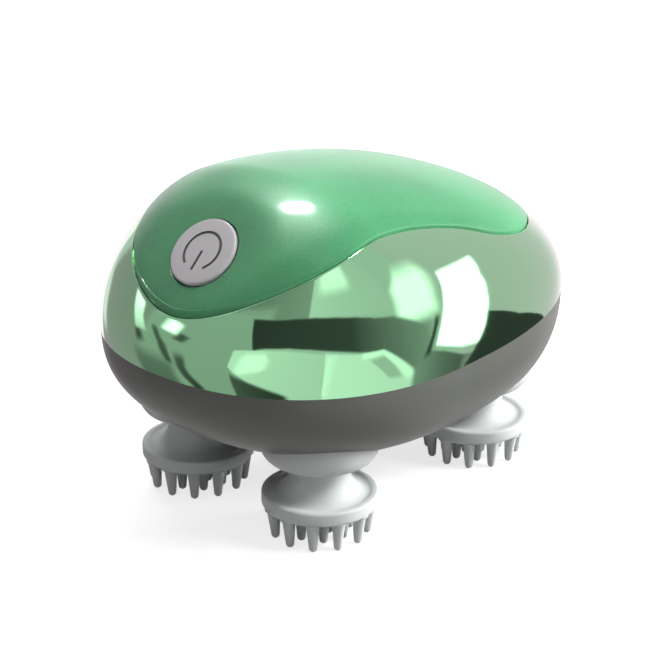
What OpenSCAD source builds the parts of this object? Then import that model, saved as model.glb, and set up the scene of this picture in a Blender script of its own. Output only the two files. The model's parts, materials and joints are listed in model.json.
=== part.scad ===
// Electric scalp massager: an egg-shaped body on four turning silicone heads.
// Millimetres, +Z up, button end towards -X. The origin is on the surface that
// the finger tips stand on, below the middle of the body.

/* [Body] */
// Length of the body
body_len = 111; // [104:1:120]
// Width of the body
body_w = 85; // [80:1:92]
// Height of the seam above the finger tips
seam_z = 39.1; // [38:0.1:41]
// Rise of the upper shell above the seam
top_rise = 34.5; // [31:0.5:38]
// Drop of the lower shell below the seam
belly_drop = 27; // [25:0.5:28]
// Place of the widest section, from the middle
wide_x = -11; // [-14:1:-8]
// Place of the highest section, from the middle
crest_x = -21; // [-24:1:-18]
// Place of the lowest section, from the middle
belly_x = 20; // [16:1:24]
// Fullness of the plan at the button end
plan_nose_n = 2.2; // [2:0.05:2.4]
// Fullness of the plan at the tail
plan_tail_n = 2.35; // [2.1:0.05:2.6]
// Fullness of the crest line at the button end
crest_nose_n = 1.7; // [1.6:0.05:1.9]
// Fullness of the crest line at the tail
crest_tail_n = 1.85; // [1.7:0.05:2.1]
// Fullness of the belly line at the button end
belly_nose_n = 2.45; // [2.2:0.05:2.6]
// Fullness of the belly line at the tail
belly_tail_n = 1.9; // [1.8:0.05:2.1]
// Fullness of the upper cross-sections
top_sec_n = 2.2; // [2:0.05:2.4]
// Fullness of the lower cross-sections
low_sec_n = 2.4; // [2.2:0.05:2.6]
// Wall of the plated shell
plated_wall = 2.8; // [2.6:0.1:3.2]
// Wall of the lower shell
low_wall = 2.0; // [1.6:0.1:2.4]

/* [Top cover] */
// Radius of the round end of the cover, at the button
cover_nose_r = 27.7; // [27:0.1:28.6]
// Distance of that arc's centre from the button end
cover_nose_in = 31.5; // [31:0.1:32.5]
// Radius of the round end of the cover, at the tail
cover_tail_r = 32.1; // [30:0.1:33]
// Distance of that arc's centre from the tail
cover_tail_in = 42.1; // [41:0.1:43.5]
// Radius of the cover's hollow long sides
cover_side_r = 200; // [160:5:300]
// How far the cover stands out of the plated shell
cover_proud = 1.0; // [0.6:0.1:1.2]
// How deep the cover sits in the plated shell
cover_sink = 1.2; // [1:0.1:1.4]
// Gap round the cover
cover_gap = 0.25; // [0.15:0.05:0.4]
// Radius of the cover's locating pins
pin_r = 1.1; // [0.9:0.1:1.4]

/* [Button] */
// Radius of the button cap
button_r = 8; // [7:0.1:9]
// Thickness of the button cap
button_t = 2.1; // [1.8:0.1:2.4]
// Distance of the button's centre from the button end
button_in = 11.7; // [11:0.1:13]
// How far the cap stands out of its dish
button_proud = 0.7; // [0.4:0.1:1]
// How far the button travels
button_travel = 0.6; // [0.4:0.05:0.7]
// Gap round the cap
button_gap = 0.35; // [0.3:0.05:0.5]
// Radius of the shallow dish round the button
dish_r = 12; // [11.5:0.1:13]
// Radius of the dish's own curve
dish_curve = 150; // [120:5:200]
// Radius of the stem under the cap
stem_r = 2.0; // [1.6:0.1:2.4]
// Depth of the engraved power sign
sign_depth = 0.25; // [0.15:0.05:0.4]

/* [Heads] */
// Radius of a head's disc
disc_r = 12.4; // [12.1:0.1:12.8]
// Height of the disc's rim
rim_h = 3.1; // [2.6:0.1:3.6]
// Length of the fingers
finger_len = 6.6; // [6:0.1:7]
// Radius of a finger at its root
finger_root_r = 1.4; // [1.2:0.05:1.6]
// Radius of a finger's tip
finger_tip_r = 0.9; // [0.7:0.05:1]
// Inward lean of the outer fingers, in degrees
finger_lean = 3.5; // [2:0.5:5]
// Radius of the outer ring of finger tips
outer_ring_r = 10.1; // [9.9:0.1:10.3]
// Radius of the middle ring
middle_ring_r = 6.3; // [6:0.1:6.6]
// Radius of the inner ring
inner_ring_r = 2.5; // [2.3:0.1:2.8]
// Radius of a head's neck
neck_r = 6.4; // [6:0.1:7]
// Height of the neck's top above the finger tips
neck_top = 16.4; // [16:0.1:16.8]

/* [Collars] */
// Radius of a collar where it passes the shell
collar_r = 12.7; // [12.4:0.1:13]
// Radius of the collar's lower edge
collar_edge_r = 10.4; // [10:0.1:10.8]
// Height of the collar's lower edge
collar_z = 17.2; // [17:0.1:17.6]
// Wall of the collar
collar_wall = 1.8; // [1.5:0.1:2.2]
// Clearance of a collar in its hole
collar_fit = 0.1; // [0.05:0.05:0.2]

/* [Drive] */
// Module of the gears that turn the heads
drive_module = 0.8; // [0.79:0.01:0.81]
// Teeth of the sun gear
sun_teeth = 48; // [48]
// Teeth of each output gear
out_teeth = 32; // [32]
// Teeth of the pinion that turns the sun gear
last_pinion_teeth = 12; // [12]
// Angle of the heads from the long axis, in degrees
head_angle = 34.7; // [33:0.1:36]
// Place of the drive's centre, from the middle of the body
drive_x = -1.5; // [-3:0.1:0]
// Module of the fast gears
fast_module = 0.5; // [0.49:0.01:0.51]
// Teeth of the motor's pinion
motor_pinion_teeth = 10; // [10]
// Teeth of the first wheel
first_wheel_teeth = 44; // [44]
// Teeth of the first pinion
first_pinion_teeth = 12; // [12]
// Teeth of the second wheel
second_wheel_teeth = 42; // [42]
// Play between meshing teeth, taken off each flank
tooth_play = 0.07; // [0.05:0.01:0.1]
// Face width of the sun and output gears
drive_face = 4; // [3:0.5:4]
// Face width of the fast gears
fast_face = 3; // [2.5:0.5:3]
// Gap between one layer of gears and the next
layer_gap = 0.8; // [0.6:0.1:1]
// Radius of the output shafts
shaft_r = 2; // [1.8:0.1:2.2]
// Radius of the fixed arbors
arbor_r = 1; // [0.8:0.1:1.2]
// Running clearance of shafts and gears, on the radius
run_fit = 0.05; // [0.03:0.01:0.08]

/* [Gearbox] */
// Height of the gearbox base's underside
base_z = 28; // [27.6:0.1:28.6]
// Thickness of the gearbox base
base_t = 2; // [1.6:0.2:2.4]
// Thickness of the gearbox lid
lid_t = 2; // [1.6:0.2:2.4]
// Gap from the plates to the shells
plate_gap = 0.8; // [0.5:0.1:1.2]
// Distance of the lid's edge from the plated shell's wall
lid_inset = 5; // [4:0.5:7]
// Radius of the gearbox posts
post_r = 3; // [2.6:0.1:3.2]
// Radius of the small screws
screw_r = 1.25; // [1:0.05:1.4]
// Radius of the small screws' heads
screw_head_r = 2.4; // [2:0.1:2.6]

/* [Motor and power] */
// Radius of the motor can
motor_r = 12.2; // [11:0.1:12.5]
// Length of the motor can
motor_len = 10.5; // [9:0.5:11]
// Radius of the battery cell
cell_r = 7; // [6.5:0.1:7.1]
// Length of the battery cell
cell_len = 43; // [40:1:44]
// Thickness of the circuit boards
board_t = 1.2; // [1:0.1:1.6]

/* [Charging port] */
// Half height of the port's flap
flap_r = 3.4; // [3.2:0.1:3.8]
// Distance between the round ends of the flap
flap_span = 6.4; // [6:0.2:7]
// Depth of the flap behind the tail
flap_t = 2.0; // [1.8:0.1:2.2]
// Distance of the port's centre below the seam
port_under = 5.9; // [5.5:0.1:6.3]
// Gap round the flap
flap_gap = 0.3; // [0.3:0.05:0.4]

/* [Hidden] */
$fn = 48;

STATIONS = 36;          // sections along the body
SECTION_STEPS = 16;     // steps round half a section
PLATE_STEPS = 32;       // steps along one side of a plate's edge
half_len = body_len / 2;
HOLE_PAST = 1;          // how far a cut runs past a face
COVER_CUT_Z = 6;        // the cover's outline starts this far above the seam
COVER_BEND = 40;        // radius of the cover's own curve round the button
// Screws, bosses and pins
SCREW_PLAY = 0.15;
SCREW_HEAD_H = 1.6;
SCREW_SHORT = 1;        // the end of a screw stays this far from its hole's end
SLOT_W = 0.5;
boss_r = 3;
boss_seat_z = 26;
boss_pilot = 8;
BOSS_NOSE = [10.5, 9];  // from the button end and from the long middle line
BOSS_TAIL = [11.5, 14]; // from the tail and from the long middle line
POST_BITE = 5;
FLOOR_COVER = 0.5;
PIN_PLAY = 0.1;
PIN_LEN = 4;
PIN_UNDER = 0.2;
PIN_NOSE_Y = 20;        // the pins at the button end, from the long middle line
PIN_TAIL = [8.2, 22];   // the others, from the tail arc's centre
// The gasket that closes the seam from inside
gasket_h = 3;
gasket_t = 1.2;
GASKET_PLAY = 0.25;
// The button's well, seal and board
WELL_ROOM = 0.3;
WELL_WALL = 1.4;
STEM_PLAY = 0.3;
STEM_OUT = 1.1;         // the stem's length below the well
SEAL_WALL = 1.5;
seal_h = 0.9;
seal_out_r = stem_r + SEAL_WALL;
PLUNGER_STEP = 0.3;     // the plunger is this much thinner than the stem
PLUNGER_IN = 0.6;       // its foot stands this deep in the switch
PLUNGER_PLAY = 0.15;
PLUNGER_ROOM = 0.3;
BOARD_HEAD_H = 1;
BOARD_SCREW_SHORT = 0.5;
board_screw_bite = 3;
sign_r = 4.3;
sign_line = 0.8;
sign_gap = 38;
sign_bar = 4.6;
// The collars and what turns in them
FLANK_STEPS = 6;
FLANK_H = 3.6;
COLLAR_EDGE = 0.4;
collar_in_r = collar_r - collar_wall;
SEAL_POCKET = 2;
seal_pocket_r = shaft_r + SEAL_POCKET;
seal_room = 2;
SHAFT_PLAY = 0.4;
FLAT = 0.5;
// The heads
hub_r = 4.2;
HUB_LIFT = 1.6;
hub_low = finger_len + HUB_LIFT;
hub_flange_r = 6;
hub_flange_h = 1.2;
shaft_low = hub_low + hub_flange_h;
ROOT_BITE = 0.3;
RIM_ROUND = 0.8;
LIP_W = 1.5;
LIP_ROUND = 0.3;
LIP_DROP = 0.2;
TRUMPET_STEPS = 8;
trumpet_h = 5;
// The gears
PRESSURE = 25;
ADDENDUM = 0.85;
DEDENDUM = 1.15;
FLANK_POINTS = 3;
sun_arbor_r = 1.5;
GEAR_NECK = 3.2;
FAST_NECK = 2.2;
NECK_BITE = 0.5;
ROOT_STEP = 0.01;
WEB_WALL = 2.6;         // wall left at a wheel's hub and at its rim
WEB_WINDOWS = 6;
WINDOW_SHARE = 0.75;    // the windows' share of the web's width
ARBOR_HEAD_H = 0.4;
ARBOR_LIP = 0.7;
ARBOR_PLAY = 0.1;
GEAR_LIFT = 0.5;        // gap between the base and the lowest gears
SHAFT_UP = 2;           // how far the output shafts stand in the third layer
SHAFT_END_PLAY = 0.3;
BEARING_LIFT = 1.5;     // gap between an output gear and its upper bearing
BEARING_DROP = 2;
BEARING_WALL = 1.5;
bearing_out_r = shaft_r + run_fit + BEARING_WALL;
// The motor and the boards
rotor_r = 1;
motor_nose_r = 3;
motor_nose_h = lid_t;
motor_screw_at = 6.5;
motor_screw_r = 0.8;
motor_screw_head_r = 1.3;
motor_screw_head_h = 0.6;
ROTOR_SHORT = 1;        // the rotor's shaft ends this far below the cap
CAN_WALL = 0.8;
CAP_H = 1.5;
TAB = [2, 0.5, 2.5];    // one terminal of the motor
main_board_x = 23;
main_board_l = 20;
main_board_w = 20;
BOARD_LIFT = 4;
BOARD_POST_IN = 3;
BOARD_POST_R = 1.6;
CHIP = [7, 7, 1.2];     // the controller, and its place from the board's corner
CHIP_AT = [6, 6];
PLUG = [5, 3, 1.6];     // the battery's plug, and its place likewise
PLUG_AT = [3, 15];
CELL_X = -6;
CELL_AIR = 3;           // gap between the motor and the cell
CELL_LIFT = 1.6;        // gap between the lid and the cell
TERMINAL_R = 2.5;
TERMINAL_H = 1;
CRADLE_END = 2.5;       // wall past each end of the cell
CRADLE_PLAY = 0.2;
CRADLE_IN = 0.5;        // the cradle's long sides stand this far in from the cell's
CRADLE_OPEN = 0.6;      // its top is this far below the cell's axis
// The charging port
PORT_DEEP = 6;
PORT_BOX_UP = 4.2;
PORT_BOX_DOWN = 5.8;
port_z = seam_z - port_under;
port_box_w = 16;
port_box_low = port_z - PORT_BOX_DOWN;
port_box_top = port_z + PORT_BOX_UP;
socket_w = 9;
socket_h = 3.2;
SOCKET_WALL = 0.3;
SOCKET_IN = 3;          // how far the socket stands in from the port's block
SOCKET_BACK = 1;
TONGUE_IN = 1.2;
TONGUE_T = 0.7;
TONGUE_SHORT = 0.8;
charge_board_l = 8;
charge_board_w = 16;
flap_pin_r = 0.45;
flap_barrel_r = 0.95;
flap_barrel_len = 6;
flap_pin_len = 9;
flap_pin_in = 2.7;      // the pin's depth behind the tail
flap_pin_drop = 0.5;    // the pin's distance below the flap
NECK_LAP = 0.4;         // the flap's neck runs this far into the flap

// ---- the egg ----
// A quarter of a superellipse: 1 at the peak and 0 at the end
function lame(t, n) = pow(max(0, 1 - pow(min(1, max(0, t)), n)), 1 / n);
// A line along the body with its peak at px; grow moves the whole surface outwards
function along(x, px, nose_n, tail_n, grow) = x < px
    ? lame((px - x) / (px + half_len + grow), nose_n)
    : lame((x - px) / (half_len - px + grow), tail_n);
function half_width(x, grow = 0) = (body_w / 2 + grow) * along(x, wide_x, plan_nose_n, plan_tail_n, grow);
function crest(x, grow = 0) = (top_rise + grow) * along(x, crest_x, crest_nose_n, crest_tail_n, grow);
function belly(x, grow = 0) = (belly_drop + grow) * along(x, belly_x, belly_nose_n, belly_tail_n, grow);
// Height of the upper surface above a point of the plan
function top_z(x, y, grow = 0) = seam_z + crest(x, grow) * lame(abs(y) / half_width(x, grow), top_sec_n);
function signed_pow(v, e) = sign(v) * pow(abs(v), e);
function station_x(i, grow) = -(half_len + grow) * cos(180 * i / STATIONS);
// One point of the surface; side is 1 above the seam and -1 below it
function egg_point(i, j, side, grow, past) =
    let (x = station_x(i, grow), a = 180 * j / SECTION_STEPS, n = side > 0 ? top_sec_n : low_sec_n,
        h = side > 0 ? crest(x, grow) : belly(x, grow), rim = j == 0 || j == SECTION_STEPS)
    [x, half_width(x, grow) * signed_pow(cos(a), 2 / n),
        seam_z + side * (rim ? -past : h * pow(abs(sin(a)), 2 / n))];

// Half of an egg: its flat face lies on the seam, or past it where it is a cutter
module half_egg(side, grow = 0, past = 0) {
    row = SECTION_STEPS + 1;
    last = STATIONS - 1;
    end_z = seam_z - side * past;
    skin = [for (i = [1:last]) for (j = [0:SECTION_STEPS]) egg_point(i, j, side, grow, past)];
    tips = [[-half_len - grow, 0, end_z], [half_len + grow, 0, end_z]];
    n = len(skin);
    wall = [for (i = [0:last - 2]) for (j = [0:SECTION_STEPS - 1]) each [
        [i * row + j, i * row + j + 1, (i + 1) * row + j + 1],
        [i * row + j, (i + 1) * row + j + 1, (i + 1) * row + j]]];
    nose_fan = [for (j = [0:SECTION_STEPS - 1]) [n, j + 1, j]];
    tail_fan = [for (j = [0:SECTION_STEPS - 1]) [n + 1, (last - 1) * row + j, (last - 1) * row + j + 1]];
    flat = concat([n], [for (i = [0:last - 1]) i * row], [n + 1],
        [for (i = [last - 1:-1:0]) i * row + SECTION_STEPS]);
    faces = concat(wall, nose_fan, tail_fan, [flat]);
    turned = [for (f = faces) [for (k = [len(f) - 1:-1:0]) f[k]]];
    polyhedron(concat(skin, tips), side > 0 ? turned : faces);
}

// The egg's outline at a height, drawn in by inset, for the plates inside it
module egg_plan(z, inset) {
    up = z > seam_z;
    dz = abs(z - seam_z);
    peak_h = (up ? top_rise : belly_drop) - inset;
    peak_x = up ? crest_x : belly_x;
    sec_n = up ? top_sec_n : low_sec_n;
    x0 = peak_x - (peak_x + half_len - inset) * lame(dz / peak_h, up ? crest_nose_n : belly_nose_n);
    x1 = peak_x + (half_len - inset - peak_x) * lame(dz / peak_h, up ? crest_tail_n : belly_tail_n);
    edge = [for (i = [0:PLATE_STEPS]) let (x = (x0 + x1) / 2 - (x1 - x0) / 2 * cos(180 * i / PLATE_STEPS),
        h = max(dz, up ? crest(x, -inset) : belly(x, -inset)))
        [x, half_width(x, -inset) * lame(dz / h, sec_n)]];
    polygon(concat(edge, [for (i = [PLATE_STEPS - 1:-1:1]) [edge[i][0], -edge[i][1]]]));
}

// ---- the cover's outline ----
cover_nose_x = cover_nose_in - half_len;
cover_tail_x = half_len - cover_tail_in;
waist_a = cover_side_r + cover_nose_r;
waist_b = cover_side_r + cover_tail_r;
cover_span = cover_tail_x - cover_nose_x;
waist_u = (cover_span * cover_span + waist_a * waist_a - waist_b * waist_b) / (2 * cover_span);
waist_x = cover_nose_x + waist_u;
waist_y = sqrt(waist_a * waist_a - waist_u * waist_u);
// Two round ends, joined by long hollow sides that run into them smoothly
module cover_plan(grow = 0) {
    nose_t = (cover_nose_r + grow) / waist_a;
    tail_t = (cover_tail_r + grow) / waist_b;
    p = [cover_nose_x + waist_u * nose_t, waist_y * nose_t];
    q = [cover_tail_x + (waist_x - cover_tail_x) * tail_t, waist_y * tail_t];
    translate([cover_nose_x, 0]) circle(r = cover_nose_r + grow, $fn = 96);
    translate([cover_tail_x, 0]) circle(r = cover_tail_r + grow, $fn = 96);
    difference() {
        polygon([p, q, [q[0], -q[1]], [p[0], -p[1]]]);
        for (s = [-1, 1]) translate([waist_x, s * waist_y]) circle(r = cover_side_r - grow, $fn = 360);
    }
}
module cover_prism(grow = 0) {
    translate([0, 0, seam_z + COVER_CUT_Z]) linear_extrude(height = top_rise) cover_plan(grow);
}

// ---- places ----
// The button's seat: its centre on the cover's surface and the slope there
button_x = button_in - half_len;
slope_step = 0.1;
button_slope = (crest(button_x + slope_step, cover_proud) - crest(button_x - slope_step, cover_proud))
    / (2 * slope_step);
button_tilt = atan(button_slope);
button_z = seam_z + crest(button_x, cover_proud);
module at_button(depth = 0) {
    translate([button_x, 0, button_z]) rotate([0, -button_tilt, 0]) translate([0, 0, depth]) children();
}
// The dish is a shallow bite of a large sphere, as deep as its rim needs on the curved cover
dish_depth = dish_r * dish_r / (2 * COVER_BEND) + dish_r * dish_r / (2 * dish_curve);
dish_floor = -dish_depth + button_r * button_r / (2 * dish_curve);
cap_top = dish_floor + button_proud;
cap_bottom = cap_top - button_t;
well_floor = cap_bottom - button_travel - WELL_ROOM;
well_r = button_r + button_gap;
well_out_r = well_r + WELL_WALL;
well_out_z = well_floor - WELL_WALL;
stem_end = well_out_z - STEM_OUT;
plunger_r = stem_r - PLUNGER_STEP;
plunger_h = 1.4;
switch_top = stem_end - plunger_h + PLUNGER_IN;
switch_h = 3.4;
switch_w = 6;
switch_hole = PLUNGER_IN + button_travel + PLUNGER_ROOM;
board_top = switch_top - switch_h;
button_board_l = 20;
button_board_w = 11;
board_post_x = 7.6;
board_post_r = 1.9;
board_screw_r = 0.8;

// The four heads, seen from above with the button end in front
head_reach = drive_module * (sun_teeth + out_teeth) / 2;
function head_dir(front, left) = (front ? 180 + (left ? 1 : -1) * head_angle : (left ? -1 : 1) * head_angle);
function head_pos(front, left) = [drive_x + head_reach * cos(head_dir(front, left)),
    head_reach * sin(head_dir(front, left)), 0];
HEADS = [[true, true], [true, false], [false, true], [false, false]];
module at_head(front, left) translate(head_pos(front, left)) children();
module at_each_head() for (h = HEADS) at_head(h[0], h[1]) children();
// How far each head stands turned, in degrees
function head_turn(front, left) = front ? (left ? 3.6 : 9.6) : (left ? 4 : 20);

// The gear train, in layers from the base up
drive_z = base_z + base_t + GEAR_LIFT;
layer2_z = drive_z + drive_face + layer_gap;
layer3_z = layer2_z + fast_face + layer_gap;
lid_z = layer3_z + fast_face + layer_gap;
lid_top = lid_z + lid_t;
bearing_low = drive_z + drive_face + BEARING_LIFT;
shaft_top = layer3_z + SHAFT_UP;
second_dist = drive_module * (sun_teeth + last_pinion_teeth) / 2;
first_dist = fast_module * (second_wheel_teeth + first_pinion_teeth) / 2;
motor_dist = fast_module * (first_wheel_teeth + motor_pinion_teeth) / 2;
second_dir = 90;
first_dir = 215;
motor_dir = -35;
function step_to(p, dist, dir) = [p[0] + dist * cos(dir), p[1] + dist * sin(dir), 0];
sun_pos = [drive_x, 0, 0];
second_pos = step_to(sun_pos, second_dist, second_dir);
first_pos = step_to(second_pos, first_dist, first_dir);
motor_pos = step_to(first_pos, motor_dist, motor_dir);
// The turn that brings a second gear's gap onto a first gear's tooth
function mesh_turn(dir, teeth_a, turn_a, teeth_b) =
    dir + 180 - 180 / teeth_b + (dir - turn_a) * teeth_a / teeth_b;
second_turn = mesh_turn(second_dir, sun_teeth, 0, last_pinion_teeth);
first_turn = mesh_turn(first_dir, second_wheel_teeth, second_turn, first_pinion_teeth);
motor_turn = mesh_turn(motor_dir, first_wheel_teeth, first_turn, motor_pinion_teeth);

// Posts of the gearbox, bosses of the shells and pins of the cover, as [x, y]
POSTS = [for (s = [[-14, 33], [14, 33], [-12, -31], [12, -31]]) [drive_x + s[0], s[1]]];
BOSSES = [for (s = [-1, 1]) each [[BOSS_NOSE[0] - half_len, s * BOSS_NOSE[1]],
    [half_len - BOSS_TAIL[0], s * BOSS_TAIL[1]]]];
COVER_PINS = [for (s = [-1, 1]) each [[cover_nose_x, s * PIN_NOSE_Y],
    [cover_tail_x + PIN_TAIL[0], s * PIN_TAIL[1]]]];

// ---- the shells ----
module lower_shell() color("#55524e") {
    difference() {
        union() {
            difference() {
                half_egg(-1);
                half_egg(-1, -low_wall, HOLE_PAST);
            }
            intersection() {
                union() {
                    for (b = BOSSES) translate(b) cylinder(r = boss_r, h = seam_z);
                    for (p = POSTS) translate(p) cylinder(r = post_r, h = base_z);
                    port_block();
                }
                half_egg(-1, -low_wall / 2);
            }
        }
        at_each_head() cylinder(r = collar_r + collar_fit, h = base_z);
        for (b = BOSSES) translate(b) {
            cylinder(r = screw_r + SCREW_PLAY, h = seam_z + HOLE_PAST);
            cylinder(r = screw_head_r + SCREW_PLAY, h = boss_seat_z);
        }
        for (p = POSTS) translate([p[0], p[1], base_z - POST_BITE])
            cylinder(r = screw_r, h = POST_BITE + HOLE_PAST);
        port_cut();
    }
}
module plated_shell() color("#8fd6a4") {
    difference() {
        union() {
            difference() {
                union() {
                    difference() {
                        half_egg(1);
                        cover_prism(cover_gap);
                    }
                    half_egg(1, -cover_sink);
                }
                half_egg(1, -plated_wall, HOLE_PAST);
            }
            intersection() {
                union() {
                    for (b = BOSSES) translate([b[0], b[1], seam_z]) cylinder(r = boss_r, h = top_rise);
                    at_button() {
                        translate([0, 0, well_out_z]) cylinder(r = well_out_r, h = -well_out_z);
                        for (s = [-1, 1]) translate([0, s * board_post_x, board_top])
                            cylinder(r = board_post_r, h = -board_top);
                    }
                }
                half_egg(1, -cover_sink - FLOOR_COVER);
            }
        }
        at_button() {
            translate([0, 0, well_floor]) cylinder(r = well_r, h = -well_floor + HOLE_PAST);
            translate([0, 0, well_out_z - HOLE_PAST])
                cylinder(r = stem_r + STEM_PLAY, h = WELL_WALL + 2 * HOLE_PAST);
            translate([0, 0, well_out_z - HOLE_PAST]) cylinder(r = seal_out_r, h = seal_h + HOLE_PAST);
            for (s = [-1, 1]) translate([0, s * board_post_x, board_top - HOLE_PAST])
                cylinder(r = board_screw_r, h = board_screw_bite + HOLE_PAST);
        }
        for (b = BOSSES) translate([b[0], b[1], seam_z - HOLE_PAST])
            cylinder(r = screw_r, h = boss_pilot + HOLE_PAST);
        for (p = COVER_PINS) translate([p[0], p[1], seam_z])
            cylinder(r = pin_r + PIN_PLAY, h = top_rise);
    }
}
module top_cover() color("#4fa877") {
    difference() {
        union() {
            intersection() {
                cover_prism();
                difference() {
                    half_egg(1, cover_proud);
                    half_egg(1, -cover_sink, HOLE_PAST);
                }
            }
            for (p = COVER_PINS) translate([p[0], p[1], top_z(p[0], p[1]) - PIN_LEN])
                cylinder(r = pin_r, h = PIN_LEN - PIN_UNDER);
        }
        at_button(-dish_depth + dish_curve) sphere(r = dish_curve, $fn = 180);
        at_button(well_floor) cylinder(r = well_r, h = -2 * well_floor);
    }
}
module shell_gasket() color("#3b3b3b") {
    translate([0, 0, seam_z - gasket_h / 2]) linear_extrude(height = gasket_h) difference() {
        egg_plan(seam_z, plated_wall + GASKET_PLAY);
        egg_plan(seam_z, plated_wall + GASKET_PLAY + gasket_t);
    }
}
// A pan-head screw that points up from the origin, which is below its head
module screw(length) {
    difference() {
        cylinder(r = screw_head_r, h = SCREW_HEAD_H);
        translate([0, 0, -HOLE_PAST]) for (a = [0, 90]) rotate([0, 0, a])
            translate([-screw_r, -SLOT_W / 2, 0]) cube([2 * screw_r, SLOT_W, HOLE_PAST + SCREW_HEAD_H / 2]);
    }
    translate([0, 0, SCREW_HEAD_H]) cylinder(r = screw_r, h = length);
}
module shell_screws() color("silver") for (b = BOSSES) translate([b[0], b[1], boss_seat_z - SCREW_HEAD_H])
    screw(seam_z - boss_seat_z + boss_pilot - SCREW_SHORT);

// ---- the button ----
module power_button() color("#b2b0b2") at_button() {
    difference() {
        translate([0, 0, cap_bottom]) cylinder(r = button_r, h = button_t);
        translate([0, 0, cap_top - sign_depth]) linear_extrude(height = sign_depth + HOLE_PAST) power_sign();
    }
    translate([0, 0, stem_end]) cylinder(r = stem_r, h = cap_bottom - stem_end);
}
// A broken ring with a bar through its gap, which faces the button end
module power_sign() {
    difference() {
        circle(r = sign_r + sign_line / 2);
        circle(r = sign_r - sign_line / 2);
        polygon([[0, 0], 2 * button_r * [-cos(sign_gap), sin(sign_gap)], [-3 * button_r, 0],
            2 * button_r * [-cos(sign_gap), -sin(sign_gap)]]);
    }
    translate([-sign_r - sign_line / 2, -sign_line / 2]) square([sign_bar, sign_line]);
}
module ring(out_r, in_r, h) difference() {
    cylinder(r = out_r, h = h);
    translate([0, 0, -HOLE_PAST]) cylinder(r = in_r, h = h + 2 * HOLE_PAST);
}
module button_seal() color("#d8d8d8") at_button(well_out_z) ring(seal_out_r, stem_r + run_fit, seal_h);
module button_board() color("#2f6b3c") at_button(board_top - board_t) difference() {
    translate([-button_board_w / 2, -button_board_l / 2, 0]) cube([button_board_w, button_board_l, board_t]);
    for (s = [-1, 1]) translate([0, s * board_post_x, -HOLE_PAST])
        cylinder(r = board_screw_r + SCREW_PLAY, h = board_t + 2 * HOLE_PAST);
}
module board_screws() color("silver") at_button(board_top - board_t - BOARD_HEAD_H)
    for (s = [-1, 1]) translate([0, s * board_post_x, 0]) {
        cylinder(r = 2 * board_screw_r, h = BOARD_HEAD_H);
        cylinder(r = board_screw_r, h = BOARD_HEAD_H + board_t + board_screw_bite - BOARD_SCREW_SHORT);
    }
module tact_switch() color("#222222") at_button(board_top) difference() {
    translate([-switch_w / 2, -switch_w / 2, 0]) cube([switch_w, switch_w, switch_h]);
    translate([0, 0, switch_h - switch_hole])
        cylinder(r = plunger_r + PLUNGER_PLAY, h = switch_hole + HOLE_PAST);
}
module switch_plunger() color("#e0e0e0") at_button(stem_end - plunger_h)
    cylinder(r = plunger_r, h = plunger_h);

// ---- a collar, its seal and what turns in it ----
collar_flank = [for (k = [0:FLANK_STEPS]) let (a = 90 * k / FLANK_STEPS)
    [collar_edge_r + (collar_r - collar_edge_r) * sin(a), collar_z + COLLAR_EDGE + FLANK_H * (1 - cos(a))]];
module collar() color("#c8cbcb") difference() {
    rotate_extrude() polygon(concat([[0, collar_z], [collar_edge_r - COLLAR_EDGE, collar_z]], collar_flank,
        [[collar_r, base_z], [0, base_z]]));
    difference() {
        translate([0, 0, collar_z + collar_wall]) cylinder(r = collar_in_r, h = base_z);
        cylinder(r = seal_pocket_r + collar_wall, h = collar_z + collar_wall + seal_room);
    }
    translate([0, 0, collar_z + collar_wall]) cylinder(r = seal_pocket_r, h = base_z);
    translate([0, 0, collar_z - HOLE_PAST]) cylinder(r = shaft_r + SHAFT_PLAY, h = base_z);
}
module seal() color("#444444") translate([0, 0, collar_z + collar_wall])
    ring(seal_pocket_r, shaft_r + run_fit, seal_room);
module flat_cut(z0, z1) translate([shaft_r - FLAT, -shaft_r, z0]) cube([shaft_r, 2 * shaft_r, z1 - z0]);
module shaft_section() difference() {
    circle(r = shaft_r);
    translate([shaft_r - FLAT, -shaft_r]) square(2 * shaft_r);
}
module output_shaft() color("silver") difference() {
    translate([0, 0, shaft_low]) cylinder(r = shaft_r, h = shaft_top - shaft_low);
    flat_cut(shaft_low - HOLE_PAST, neck_top);
    flat_cut(drive_z, drive_z + drive_face);
}
module head_hub() color("#9fa3a3") difference() {
    union() {
        translate([0, 0, hub_low]) cylinder(r = hub_r, h = neck_top - hub_low);
        translate([0, 0, hub_low]) cylinder(r = hub_flange_r, h = hub_flange_h);
    }
    translate([0, 0, shaft_low]) linear_extrude(height = neck_top) shaft_section();
}
// One finger on the disc's underside: a tapered post with a round tip
module finger(ring_r, dir, lean) {
    drop = finger_len - finger_tip_r;
    rotate([0, 0, dir]) translate([ring_r + drop * tan(lean), 0, finger_len]) rotate([0, lean, 0])
        translate([0, 0, -drop / cos(lean)]) {
            cylinder(r1 = finger_tip_r, r2 = finger_root_r, h = drop / cos(lean) + ROOT_BITE);
            sphere(r = finger_tip_r);
        }
}
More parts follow.
